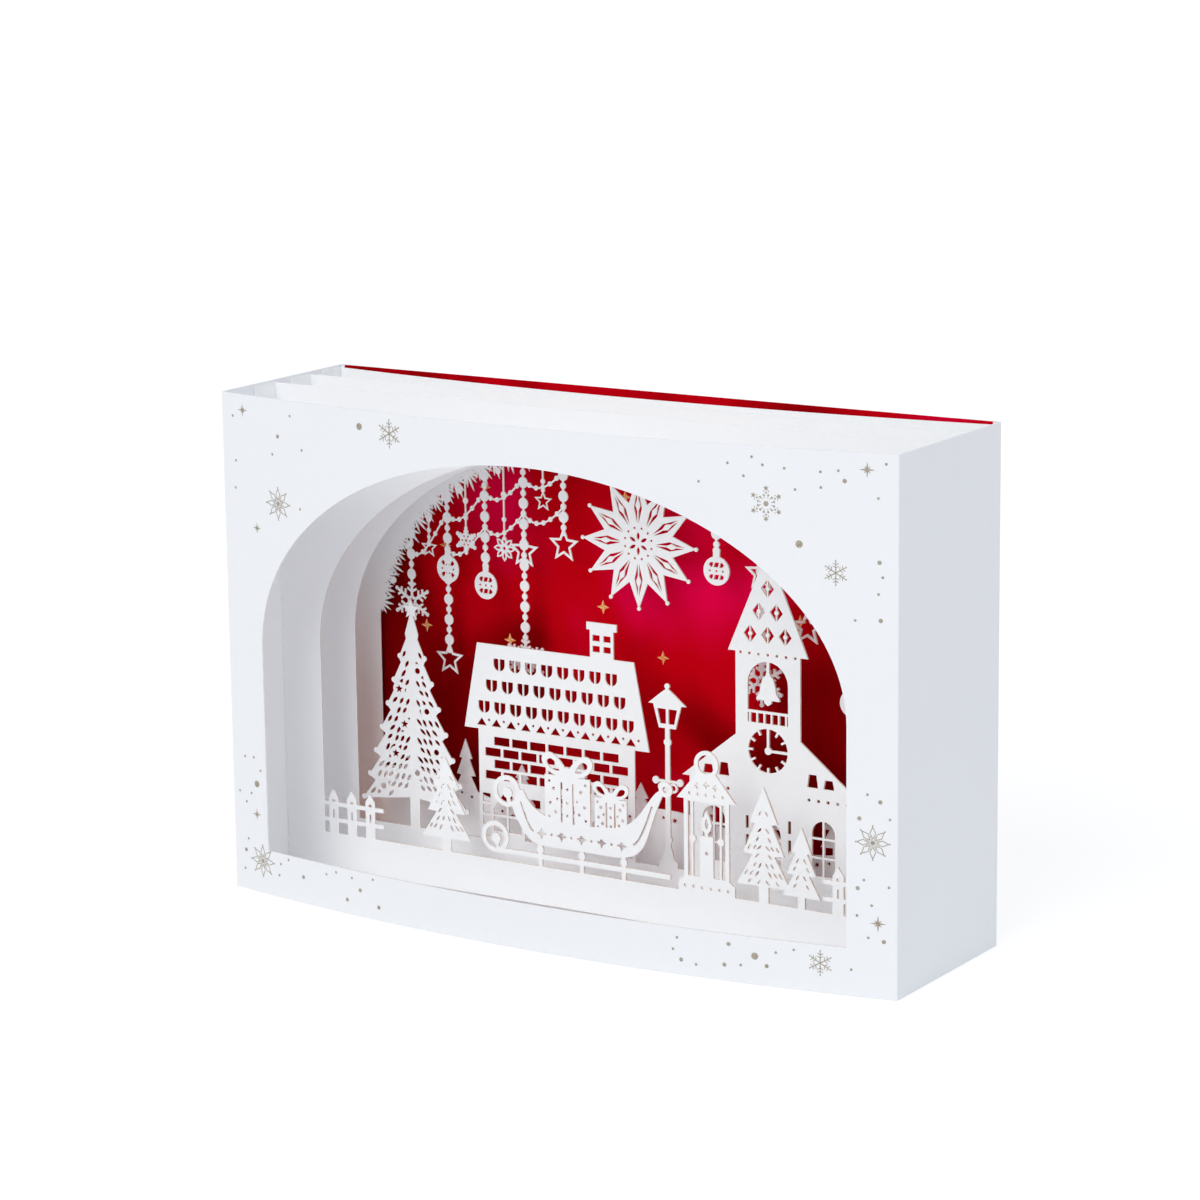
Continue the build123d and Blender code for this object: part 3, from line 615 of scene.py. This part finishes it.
def folded_sheet(name, knots, groups, low, high, face_material, edge_material):
    """Card of real thickness, cut out flat and then folded and bowed to its plan."""
    spots, tris = flat_mesh(groups, [k[0] for k in knots[1:-1]], low - 1, high + 1)
    front, back, normals = [], [], []
    for s, z in spots:
        outer, inner, normal = locate(knots, s)
        front.append((outer[0] * MM, outer[1] * MM, z * MM))
        back.append((inner[0] * MM, inner[1] * MM, z * MM))
        normals.append((normal[0], normal[1], 0.0))
    faces_back = knots[len(knots) // 2][3][1] > 0
    if faces_back:
        front, back = back, front
        normals = [(-x, -y, 0.0) for x, y, z in normals]
    count, points = len(spots), front + back
    normals += [(-x, -y, 0.0) for x, y, z in normals]
    faces, borders = [], set()
    for a, b, c in tris:
        faces += [(a, b, c), (c + count, b + count, a + count)]
        borders |= {(a, b), (b, c), (c, a)}
    kinds = [0] * len(faces)
    trims = ((1, low), (1, high), (0, knots[0][0]), (0, knots[-1][0]))
    for a, b in sorted(borders):
        if (b, a) not in borders:
            start = len(points)
            points += [front[b], front[a], back[a], back[b]]
            normals += [(0.0, 0.0, 0.0)] * 4
            faces.append((start, start + 1, start + 2, start + 3))
            ends = spots[a], spots[b]
            trimmed = any(all(abs(end[axis] - edge) < 1e-3 for end in ends) for axis, edge in trims)
            kinds.append(0 if trimmed else 1)
    mesh = bpy.data.meshes.new(name)
    mesh.from_pydata(points, [], faces)
    mesh.materials.append(face_material)
    mesh.materials.append(edge_material)
    mesh.polygons.foreach_set("material_index", kinds)
    mesh.polygons.foreach_set("use_smooth", [True] * len(faces))
    mesh.normals_split_custom_set_from_vertices(normals)
    return add_piece(mesh)


def windowed(end, low, high, *window):
    """A flat sheet with an arched window."""
    return [on([(-end, low), (end, low), (end, high), (-end, high)]), off(arched_window(*window))]


def perforation(place, low, high):
    """Dashes cut along a fold."""
    dash, pitch, wide = 1.5, 2.9, 0.28
    shapes = []
    z = low + 1.0
    while z < high - 2:
        shapes.append(off(block(place, z + dash / 2, wide, dash)))
        z += pitch
    return shapes


def arch_underside(x):
    return SPRING + RISE * sqrt(1 - (x / WINDOW_HALF) ** 2)


# materials

def feed(tree, made, sockets):
    """Gives inputs, by place or by name, a value or the output of another node."""
    for key, value in sockets.items():
        if isinstance(value, bpy.types.NodeSocket):
            tree.links.new(value, made.inputs[key])
        else:
            made.inputs[key].default_value = value


def node(tree, kind, *inputs, **values):
    """A node: plain values go to its inputs in order, named ones to an input or a setting."""
    made = tree.nodes.new(kind)
    sockets = dict(enumerate(inputs))
    for key, value in values.items():
        if key in made.inputs:
            sockets[key] = value
        else:
            setattr(made, key, value)
    feed(tree, made, sockets)
    return made


def principled(name):
    """A new material, its node tree, its shader and the place on the object."""
    material = bpy.data.materials.new(name)
    material.use_nodes = True
    tree = material.node_tree
    place = node(tree, "ShaderNodeTexCoord").outputs["Object"]
    return material, tree, tree.nodes["Principled BSDF"], place


def axes(tree, place):
    return node(tree, "ShaderNodeSeparateXYZ", place).outputs


def maths(tree, operation, *inputs):
    return node(tree, "ShaderNodeMath", *inputs, operation=operation).outputs[0]


def noise(tree, place, scale, detail, roughness, distortion=0.0):
    return node(tree, "ShaderNodeTexNoise", Vector=place, Scale=scale, Detail=detail, Roughness=roughness,
                Distortion=distortion).outputs["Fac"]


def fade(tree, value, start, end, low=0.0, high=1.0, kind="LINEAR"):
    """A value brought from the range start to end into the range low to high."""
    return node(tree, "ShaderNodeMapRange", value, start, end, low, high,
                interpolation_type=kind).outputs["Result"]


def ramp(tree, value, first, last, between=None, blend="LINEAR"):
    """Colour by a value; each stop is a place and a colour."""
    made = node(tree, "ShaderNodeValToRGB", value)
    made.color_ramp.interpolation = blend
    stops = made.color_ramp.elements
    for stop, (position, colour) in zip(stops, (first, last)):
        stop.position = position
        stop.color = (*colour, 1)
    if between:
        stops.new(between[0]).color = (*between[1], 1)
    return made.outputs["Color"]


def relief(tree, shader, height, strength, distance):
    bump = node(tree, "ShaderNodeBump", Strength=strength, Distance=distance, Height=height)
    tree.links.new(bump.outputs["Normal"], shader.inputs["Normal"])


# Painted bounce light from the red backing, an orange tint on the rear layer's left leg, fades in between
# these places across and up, in metres
PAINTED_BOUNCE_ACROSS, PAINTED_BOUNCE_UP = (-0.070, -0.080), (0.075, 0.010)


def card_material(name, light, shade, painted_bounce=None):
    """Smooth uncoated card: faint clouds, short fibres, a fine tooth; the last argument, if given, is the
    colour of painted bounce light from the red backing, laid on the left leg's foot.
    """
    material, tree, shader, place = principled(name)
    stretched = node(tree, "ShaderNodeMapping", place, Scale=(1.0, 1.0, 0.45)).outputs["Vector"]
    clouds = noise(tree, place, scale=38.0, detail=3.0, roughness=0.5)
    fibres = noise(tree, stretched, scale=900.0, detail=4.0, roughness=0.65)
    grain = noise(tree, place, scale=3200.0, detail=2.0, roughness=0.6)
    mixed = maths(tree, "MULTIPLY_ADD", fibres, 0.5, maths(tree, "MULTIPLY", clouds, 0.5))
    colour = ramp(tree, mixed, (0.3, shade), (0.7, light))
    # painted bounce light: an orange tint from the red backing, faded in on the rear layer's left leg
    if painted_bounce:
        spot = axes(tree, place)
        share = maths(tree, "MULTIPLY", fade(tree, spot["X"], *PAINTED_BOUNCE_ACROSS), fade(tree, spot["Z"], *PAINTED_BOUNCE_UP))
        colour = node(tree, "ShaderNodeMixRGB", share, colour, (*painted_bounce, 1)).outputs["Color"]
    relief(tree, shader, maths(tree, "ADD", fibres, grain), strength=0.25, distance=0.00004)
    feed(tree, shader, {"Base Color": colour, "Roughness": 0.62, "Specular IOR Level": 0.35})
    return material


def edge_material(name, light, dark):
    """Cut edge of the card, toasted a little by the laser."""
    material, tree, shader, place = principled(name)
    spots = noise(tree, place, scale=420.0, detail=3.0, roughness=0.6)
    colour = ramp(tree, spots, (0.35, dark), (0.65, light))
    feed(tree, shader, {"Base Color": colour, "Roughness": 0.8, "Specular IOR Level": 0.2})
    return material


# Soft lighter and darker places laid on the red field: across, up, reach, how much lighter
RED_GLOWS = ((-50, 95, 34, 0.20), (-12, 74, 38, 0.25), (26, 80, 34, 0.11), (44, 42, 44, -0.16),
             (-70, 60, 40, -0.08))
# Stops of the red print's ramp: value and colour
RED_DARK = (0.28, (0.26, 0.0005, 0.002))
RED_MIDDLE = (0.47, (0.60, 0.0006, 0.008))
RED_BRIGHT = (0.7, (0.87, 0.0015, 0.078))


def red_material(name):
    """Printed crimson field with soft lighter and darker patches, and painted shade that darkens its left
    side.
    """
    material, tree, shader, place = principled(name)
    shifted = node(tree, "ShaderNodeMapping", place, Location=(0.013, 0.0, 0.021)).outputs["Vector"]
    patches = noise(tree, shifted, scale=19.0, detail=2.0, roughness=0.45, distortion=0.5)
    # painted shade: the field darkens towards its left side, where the outer frame shades it
    across = fade(tree, axes(tree, place)["X"], -0.085, 0.0, low=-0.12, high=-0.02)
    mixed = maths(tree, "ADD", patches, across)
    for x, z, reach, lift in RED_GLOWS:
        middle = (x * MM, BACKING_FACE * MM, z * MM)
        far = node(tree, "ShaderNodeVectorMath", place, middle, operation="DISTANCE").outputs["Value"]
        mixed = maths(tree, "ADD", mixed, fade(tree, far, 0.0, reach * MM, lift, 0.0, "SMOOTHSTEP"))
    grain = noise(tree, place, scale=2600.0, detail=2.0, roughness=0.6)
    relief(tree, shader, grain, strength=0.15, distance=0.00003)
    feed(tree, shader, {"Base Color": ramp(tree, mixed, RED_DARK, RED_BRIGHT, RED_MIDDLE, "EASE"),
                        "Roughness": 0.8, "Specular IOR Level": 0.0})
    return material


def foil_material(name, light, dark, rough, metal=0.75):
    """Hot-stamped foil: metal with fine crinkles and a little wear."""
    material, tree, shader, place = principled(name)
    flecks = noise(tree, place, scale=1500.0, detail=3.0, roughness=0.7)
    relief(tree, shader, flecks, strength=0.35, distance=0.00003)
    colour = ramp(tree, flecks, (0.35, dark), (0.65, light))
    feed(tree, shader, {"Base Color": colour, "Metallic": metal, "Roughness": rough})
    return material


# the layers' card is painted lighter than the outer frame's card, standing in for light that the thin paper
# lets through and bounces around inside the box
PAINTED_BRIGHT_LAYER_LIGHT, PAINTED_BRIGHT_LAYER_SHADE = (0.95, 0.96, 0.965), (0.935, 0.945, 0.95)
white = card_material("white_card", (0.885, 0.90, 0.925), (0.87, 0.885, 0.91))
white_edge = edge_material("white_cut_edge", (0.87, 0.875, 0.88), (0.80, 0.80, 0.80))
layer = card_material("layer_card", PAINTED_BRIGHT_LAYER_LIGHT, PAINTED_BRIGHT_LAYER_SHADE)
# the rear layer's card carries painted bounce light from the red backing on its left leg
rear_card_painted_bounce = card_material("rear_card_painted_bounce", PAINTED_BRIGHT_LAYER_LIGHT, PAINTED_BRIGHT_LAYER_SHADE, (0.97, 0.86, 0.81))
layer_edge = edge_material("layer_cut_edge", (0.86, 0.74, 0.65), (0.72, 0.55, 0.44))
red = red_material("red_print")
reverse = card_material("backing_reverse", (0.87, 0.88, 0.895), (0.85, 0.86, 0.875))
foil = foil_material("champagne_foil", (0.50, 0.45, 0.37), (0.33, 0.29, 0.23), 0.42)
gold = foil_material("gold_foil", (0.95, 0.36, 0.07), (0.72, 0.20, 0.03), 0.45, 0.3)
# pale gold for the painted highlights on the sparkles' tips
painted_highlight_gold = foil_material("pale_gold_foil", (1.0, 0.74, 0.36), (0.98, 0.52, 0.22), 0.45, 0.3)

# outer frame
BOW_STEPS = 32
front_knots = plan(FRONT_FOLD, HALF_WIDTH, FRONT_BOW, 1, (REAR_FOLD - FRONT_FOLD, REAR_FLAP), BOW_STEPS)
front_sheet = windowed(front_knots[-1][0], 0, HEIGHT, FRONT_HALF, FRONT_SILL, FRONT_SPRING, FRONT_RISE)
outer_frame = folded_sheet("outer_frame_card", front_knots, [front_sheet], 0, HEIGHT, white,
                           white_edge)
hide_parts("outer_frame")


# the three layers

def layer_plan(back, bow=0, steps=2):
    return plan(back, LAYER_HALF, bow, -1, (TAB,), steps)


def layer_sheet(low=LAYER_LOW):
    end = layer_plan(FOREGROUND_BACK)[-1][0]
    return windowed(end, low, LAYER_TOP, WINDOW_HALF, SILL, SPRING, RISE)


def creases(low=LAYER_LOW):
    fold = LAYER_HALF - 0.2
    return perforation(fold, low, LAYER_TOP) + perforation(-fold, low, LAYER_TOP)


def layer_piece(name, knots, groups, material, low=LAYER_LOW):
    return folded_sheet(name, knots, groups, low, LAYER_TOP, material, layer_edge)


# foreground layer
YOUNG_FIR, YOUNG_FIR_WIDE, PARCEL, CARGO = 27.0, 14.0, 12.5, 10.1
sleigh_x, young_x = SLEIGH_PLACE * WINDOW_HALF, YOUNG_FIR_PLACE * WINDOW_HALF
foreground = [layer_sheet(FOREGROUND_LOW) + creases(FOREGROUND_LOW)]
foreground += [moved(shapes, x, SILL + z) for shapes, x, z in (
    (sleigh(), sleigh_x, 0), (parcel(PARCEL), sleigh_x - 0.3 * PARCEL, CARGO),
    (parcel(0.7 * PARCEL), sleigh_x + 0.65 * PARCEL, CARGO), (lantern(), LANTERN_PLACE * WINDOW_HALF, 0),
    (plain_fir(YOUNG_FIR, YOUNG_FIR_WIDE, 3), young_x, 0),
    (plain_fir(0.7 * YOUNG_FIR, 0.7 * YOUNG_FIR_WIDE, 4), young_x + 0.7 * YOUNG_FIR_WIDE, 0),
    (plain_fir(0.85 * YOUNG_FIR, YOUNG_FIR_WIDE, 5), LONE_FIR_PLACE * WINDOW_HALF, 0),
    (fence(), -FENCE_X, 0), (fence(), FENCE_X, 0))]
foreground_layer = layer_piece("foreground_layer_card", layer_plan(FOREGROUND_BACK), foreground, layer,
                               FOREGROUND_LOW)
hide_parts("foreground_layer")

# middle layer
middle = [layer_sheet() + creases()]
middle += [moved(shapes, place * WINDOW_HALF, SILL) for shapes, place in (
    (lace_fir(54.0, 31.0, 8), FIR_PLACE), (cottage(), COTTAGE_PLACE), (lamp_post(), LAMP_PLACE),
    (bell_tower(), TOWER_PLACE), (plain_fir(33.0, 16.0, 6), SIDE_FIR_PLACE))]
middle_layer = layer_piece("middle_layer_card", layer_plan(MIDDLE_BACK), middle, layer)
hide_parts("middle_layer")

# rear layer
LEFT_DROPS, RIGHT_DROPS = (17, 40, 27, 48, 22), (24, 46, 28, 38, 15)
SHORT_DROPS, SWAG_DEPTHS = (9.0, 14.0, 20.0, 11.0, 7.0), (6.5, 15.0)
STRING_PITCH, LONG_STRING, WIDE_GAP = 11.6, 34.8, 20
ROSETTE, ROSETTE_DROP = 15.5, 9.0
DISTANT_FIR, DISTANT_FIR_WIDE, DISTANT_PITCH, DISTANT_FOOT = 13.0, 7.6, 0.22, 6.0
SPRAYS, SPRAY_REACH = 46, 4.4

inner = ROSETTE + 6 * BAR
strings = [(-inner - (4 - k) * STRING_PITCH, drop) for k, drop in enumerate(LEFT_DROPS)]
strings += [(inner + k * STRING_PITCH, drop) for k, drop in enumerate(RIGHT_DROPS)]
neighbours = list(zip(strings[:-1], strings[1:]))
ornaments = (snowflake(5.6), open_star(4.4), bauble(3.4))
short = (open_star(2.6), snowflake(3.0), petal_flower(3.2))
crown = arch_underside(0)
rear = [layer_sheet(), moved(hills(), 0, SILL), moved(bead_string(ROSETTE_DROP), 0, crown),
        moved(rosette(ROSETTE, 12), 0, crown - ROSETTE_DROP - ROSETTE + BAR)]
for k, (x, drop) in enumerate(strings):
    top = arch_underside(x)
    rear += [moved(bead_string(drop), x, top), moved(ornaments[k % 3], x, top - drop - 2.2)]
    if drop > LONG_STRING:
        rear.append(moved(ornaments[(k + 1) % 3], x, top - drop / 2))
for k, x in enumerate(spread(9, DISTANT_PITCH * WINDOW_HALF)):
    fir = plain_fir((1.2 if k % 2 else 0.9) * DISTANT_FIR, DISTANT_FIR_WIDE, 20 + k)
    rear.append(moved(fir, x, SILL + DISTANT_FOOT))
for k, (a, b) in enumerate(neighbours):
    if b[0] - a[0] > WIDE_GAP:
        continue
    x = (a[0] + b[0]) / 2
    top = arch_underside(x)
    drop = SHORT_DROPS[k % 5]
    rear.append([on(block(x, top - drop / 2 + ROOT / 2, 0.45, drop + ROOT)),
                 on(circle(0.8, x, top - 0.45 * drop, 12)), on(circle(0.65, x, top - 0.75 * drop, 12))])
    rear.append(moved(short[k % 3], x, top - drop - 2.0))
for depth in SWAG_DEPTHS:
    for a, b in neighbours:
        if min(a[1], b[1]) < depth + 4 or b[0] - a[0] > WIDE_GAP:
            continue
        start = (a[0], arch_underside(a[0]) - depth)
        end = (b[0], arch_underside(b[0]) - depth)
        line = bezier(start, (a[0] + 3.5, start[1] - 4.0), (b[0] - 3.5, end[1] - 4.0), end, 12)
        rear.append([on(ribbon(line, 0.42))] + [on(circle(0.62, x, z, 10)) for x, z in line[2:-1:2]])
rng = random.Random(8)
for k in range(SPRAYS):
    angle = radians(6 + 168 * k / (SPRAYS - 1))
    x, z = WINDOW_HALF * cos(angle), SPRING + RISE * sin(angle)
    inward = atan2(-WINDOW_HALF * sin(angle), -RISE * cos(angle))
    root = (x - 0.8 * cos(inward), z - 0.8 * sin(inward))
    spray = []
    for j in range(-3, 4):
        lean = inward + 0.42 * j + rng.uniform(-0.1, 0.1)
        reach = (SPRAY_REACH - 0.45 * abs(j)) * rng.uniform(0.8, 1.15)
        spray.append(on(leaf(root, (x + reach * cos(lean), z + reach * sin(lean)), 0.7)))
    if k % 3 == 1:
        spray.append(on(circle(0.85, x + 2.6 * cos(inward), z + 2.6 * sin(inward), 12)))
    rear.append(spray)
rear_layer = layer_piece("rear_layer_card", layer_plan(REAR_BACK, REAR_BOW, BOW_STEPS), rear, rear_card_painted_bounce)
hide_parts("rear_layer")

# backing panel: red in front and on its upper and lower edge, white elsewhere
PRINT_HALF = 88.0
backing = bpy.data.meshes.new("backing_card")
half, low_y, high_y = BACKING_HALF * MM, BACKING_FACE * MM, (BACKING_FACE + BACKING_CARD) * MM
field = PRINT_HALF * MM
corners = [(x, y, z) for y in (low_y, high_y) for x in (-half, half) for z in (0, HEIGHT * MM)]
corners += [(x, low_y, z) for x in (-field, field) for z in (0, HEIGHT * MM)]
red_faces = [(8, 10, 11, 9), (4, 6, 2, 10, 8, 0), (1, 9, 11, 3, 7, 5)]
white_faces = [(0, 8, 9, 1), (10, 2, 3, 11), (6, 4, 5, 7), (4, 0, 1, 5), (2, 6, 7, 3)]
backing.from_pydata(corners, [], red_faces + white_faces)
for material in (red, reverse):
    backing.materials.append(material)
backing.polygons.foreach_set("material_index", [0] * len(red_faces) + [1] * len(white_faces))
backing_piece = add_piece(backing)
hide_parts("backing_panel")


# foil

def foil_piece(name, groups, surface, material):
    """Thin stamped shapes that lie on a face of the card."""
    spots, tris = flat_mesh(groups)
    mesh = bpy.data.meshes.new(name)
    mesh.from_pydata([(x * MM, surface(x) * MM, z * MM) for x, z in spots], [], tris)
    mesh.materials.append(material)
    return add_piece(mesh)


def painted_highlight_facets(size, waist):
    """Painted highlight: the bright half of each tip of a four-pointed sparkle."""
    return around([on([(0, 0), (size, 0), (waist * cos(pi / 4), waist * sin(pi / 4))])], 4)


def foil_flake(kind):
    """Figures of a printed snowflake of size 1."""
    if kind == "petals":
        petal = [on([(0, 0.18), (0.2, 0.56), (0, 1), (-0.2, 0.56)]),
                 off([(0, 0.29), (0.148, 0.56), (0, 0.87), (-0.148, 0.56)]), on(circle(0.05, 0, 1, 8))]
        ray = [on(stroke((0, 0), (0, 0.46), 0.035))]
        return around(petal, 8) + around(ray, 8, pi / 8) + [[on(star(0.17, 0.08, 8))]]
    if kind == "arms":
        arm = [on(stroke((0, 0), (0, 1), 0.09, 0.07)), on(circle(0.06, 0, 1, 8))]
        for start, reach in ((0.4, 0.26), (0.64, 0.24)):
            arm += [on(stroke((0, start), (end, start + 0.6 * reach), 0.06)) for end in (-reach, reach)]
        return around(arm, 6) + [[on(circle(0.1, count=12))]]
    arm = [on(star(0.17, 0.08, 5, 0, 0.86)), on(star(0.09, 0.04, 4, 0, 0.62))]
    for side in (-1, 1):
        arm += [on(star(0.1, 0.045, 4, side * 0.13, 0.47)), on(circle(0.035, side * 0.15, 0.7, 8)),
                on(stroke((side * 0.13, 0.47), (side * 0.1, 0.3), 0.04))]
    return around(arm, 6) + [[on(circle(0.15, count=18))]]


# Printed ornaments of the front: place from the middle, height and size
SPARKLE = (on(star(1, 0.2, 4)), on(star(0.6, 0.16, 4, turn=pi / 4)))
SPARKLES = ((-82.6, 116.3, 1.6), (-78.8, 88.8, 1.4), (-81.8, 19.1, 1.5), (82.8, 116.4, 1.8),
            (85.4, 16.9, 1.9))
FLAKES = (("arms", -36.4, 115.4, 3.2), ("arms", 75.9, 93.7, 2.7), ("arms", 72.4, 6.7, 2.8),
          ("petals", -71.5, 95.4, 3.8), ("petals", -80.2, 7.9, 3.9), ("petals", 84.2, 34.9, 3.8),
          ("jewels", 60.2, 107.7, 3.9))
LARGE_DOTS = ((-45.3, 116.2), (-81.5, 26.6), (67.7, 99.4), (57.2, 6.5))
# Fields of small dots: left, right, low and high end, number of middle-sized and of fine dots
DOT_FIELDS = ((-86, -62, 92, 118, 1, 7), (-87.5, -80, 3, 34, 1, 8), (-78, -42, 3, 10, 4, 7),
              (36, 80, 2.5, 9, 4, 7), (80, 88, 8, 46, 4, 7), (44, 88, 103, 118.5, 1, 12),
              (80, 88, 80, 103, 2, 3))
LARGE_DOT, MIDDLE_DOT, FINE_DOT, DOT_CLEAR = 0.82, 0.48, 0.31, 1.9
FOIL_LIFT = 0.02


def all_dots(seed):
    """The large dots, and smaller ones at random places of their fields, clear of the other ornaments."""
    rng = random.Random(seed)
    taken = list(SPARKLES) + [flake[1:] for flake in FLAKES]
    others = len(taken)
    taken += [(x, z, LARGE_DOT) for x, z in LARGE_DOTS]
    for left, right, low, high, middle_sized, fine in DOT_FIELDS:
        for radius in (MIDDLE_DOT,) * middle_sized + (FINE_DOT,) * fine:
            for _ in range(60):
                x, z = rng.uniform(left, right), rng.uniform(low, high)
                if all(hypot(x - ox, z - oz) > size + DOT_CLEAR for ox, oz, size in taken):
                    taken.append((x, z, radius))
                    break
    return taken[others:]


groups = [moved([shape], x, z, size) for x, z, size in SPARKLES for shape in SPARKLE]
groups += [moved(shapes, x, z, size) for kind, x, z, size in FLAKES for shapes in foil_flake(kind)]
groups += [[on(circle(radius, x, z, 16))] for x, z, radius in all_dots(5)]
foil_piece("front_foil", groups,
           lambda x: bow_line(x, FRONT_FOLD, HALF_WIDTH, FRONT_BOW, 0) - FOIL_LIFT, foil)

GOLD_SPARKLES = ((-47.4, 93.4), (-59.3, 78.1), (-65.2, 57.7), (-40.9, 56.6), (-14.3, 67.5), (-7.8, 94.5),
                 (2.2, 57.0), (39.2, 69.6), (63.0, 90.0), (-72.0, 34.0), (20.0, 38.0), (62.0, 40.0))
GOLD_SIZE, GOLD_WAIST = 1.75, 0.66
groups = [[on(star(GOLD_SIZE, GOLD_WAIST, 4, x, z))] for x, z in GOLD_SPARKLES]
foil_piece("gold_sparkles", groups, lambda x: BACKING_FACE - FOIL_LIFT, gold)
# painted highlight: a paler gold half on each tip of the gold sparkles
groups = [moved(facet, x, z) for x, z in GOLD_SPARKLES for facet in painted_highlight_facets(GOLD_SIZE, GOLD_WAIST)]
foil_piece("gold_facets", groups, lambda x: BACKING_FACE - 2 * FOIL_LIFT, painted_highlight_gold)

# floor: a viewer sees it lightened to white around the card, and it keeps the card's shadow
FLOOR_HALF, FLOOR_Z, FLOOR_WHITE = 30, -0.00005, (0.88, 0.88, 0.88, 1)
FLOOR_SHARE, FLOOR_LIFT, FOOT_FADE = 0.5, 0.145, (-0.003, 0.0015)
floor_mesh = bpy.data.meshes.new("floor")
floor_mesh.from_pydata([(x, y, FLOOR_Z) for x, y in block(0, 0, 2 * FLOOR_HALF, 2 * FLOOR_HALF)], [],
                       [(0, 1, 2, 3)])
floor = bpy.data.objects.new("floor", floor_mesh)
scene.collection.objects.link(floor)
floor_material, tree, floor_shader, place = principled("studio_floor")
feed(tree, floor_shader, {"Base Color": FLOOR_WHITE, "Roughness": 0.9, "Specular IOR Level": 0.0})
rays = node(tree, "ShaderNodeLightPath").outputs
looked = maths(tree, "MAXIMUM", rays["Is Camera Ray"], rays["Is Glossy Ray"])
looked = maths(tree, "MAXIMUM", looked, rays["Is Transmission Ray"])
spot = axes(tree, place)
sides = maths(tree, "ABSOLUTE", spot["X"])
past_side = maths(tree, "SUBTRACT", sides, HALF_WIDTH * MM)
past_rear = maths(tree, "SUBTRACT", spot["Y"], REAR_FOLD * MM)
bowed = maths(tree, "MULTIPLY_ADD", maths(tree, "POWER", sides, 2.0), FRONT_BOW / (HALF_WIDTH ** 2 * MM),
              (FRONT_FOLD - FRONT_BOW) * MM)
past_end = maths(tree, "MAXIMUM", past_rear, maths(tree, "SUBTRACT", bowed, spot["Y"]))
outside = fade(tree, maths(tree, "MAXIMUM", past_side, past_end), *FOOT_FADE, kind="SMOOTHSTEP")
direct = maths(tree, "MULTIPLY", looked, outside)
paper_white = node(tree, "ShaderNodeEmission", Strength=1.0).outputs[0]
blend = node(tree, "ShaderNodeMixShader", maths(tree, "MULTIPLY", direct, FLOOR_SHARE),
             floor_shader.outputs[0], paper_white).outputs[0]
glow = node(tree, "ShaderNodeEmission", Strength=maths(tree, "MULTIPLY", direct, FLOOR_LIFT)).outputs[0]
total = node(tree, "ShaderNodeAddShader", blend, glow).outputs[0]
feed(tree, tree.nodes["Material Output"], {"Surface": total})
floor_mesh.materials.append(floor_material)

# light
WORLD_COLOUR, WORLD_LIGHT = (0.97, 0.99, 1.03, 1), 0.52
world = bpy.data.worlds.new("studio")
world.use_nodes = True
background = world.node_tree.nodes["Background"]
feed(world.node_tree, background, {"Color": WORLD_COLOUR, "Strength": WORLD_LIGHT})
scene.world = world


def sun(name, azimuth, elevation, strength, angle, colour):
    data = bpy.data.lights.new(name, "SUN")
    data.energy = strength
    data.angle = radians(angle)
    data.color = colour
    lamp = bpy.data.objects.new(name, data)
    a, e = radians(azimuth), radians(elevation)
    toward = Vector((sin(a) * cos(e), -cos(a) * cos(e), sin(e)))
    lamp.rotation_euler = toward.to_track_quat("Z", "Y").to_euler()
    scene.collection.objects.link(lamp)


sun("key", azimuth=-6, elevation=36, strength=1.25, angle=45, colour=(1.0, 0.995, 0.985))
sun("side", azimuth=80, elevation=25, strength=0.34, angle=60, colour=(0.90, 0.98, 1.08))
sun("back", azimuth=172, elevation=42, strength=0.55, angle=60, colour=(0.98, 0.99, 1.02))

# camera
CAMERA_PLACE, CAMERA_LENS, SENSOR = (0.4818, -0.7523, 0.2665), 120, 36
azimuth, elevation, roll = radians(32.51), radians(12.05), radians(-0.70)
forward = Vector((-sin(azimuth) * cos(elevation), cos(azimuth) * cos(elevation), -sin(elevation)))
right = Vector((cos(azimuth), sin(azimuth), 0))
up = right.cross(forward)
right, up = cos(roll) * right + sin(roll) * up, cos(roll) * up - sin(roll) * right
camera_data = bpy.data.cameras.new("camera")
camera_data.lens = CAMERA_LENS
camera_data.sensor_width = SENSOR
camera_data.clip_end = 100
camera = bpy.data.objects.new("camera", camera_data)
camera.matrix_world = (Matrix.Translation(CAMERA_PLACE)
                       @ Matrix((right, up, -forward)).transposed().to_4x4())
scene.collection.objects.link(camera)
scene.camera = camera
scene.view_settings.view_transform = "Standard"
scene.cycles.max_bounces = 16
scene.cycles.diffuse_bounces = 16
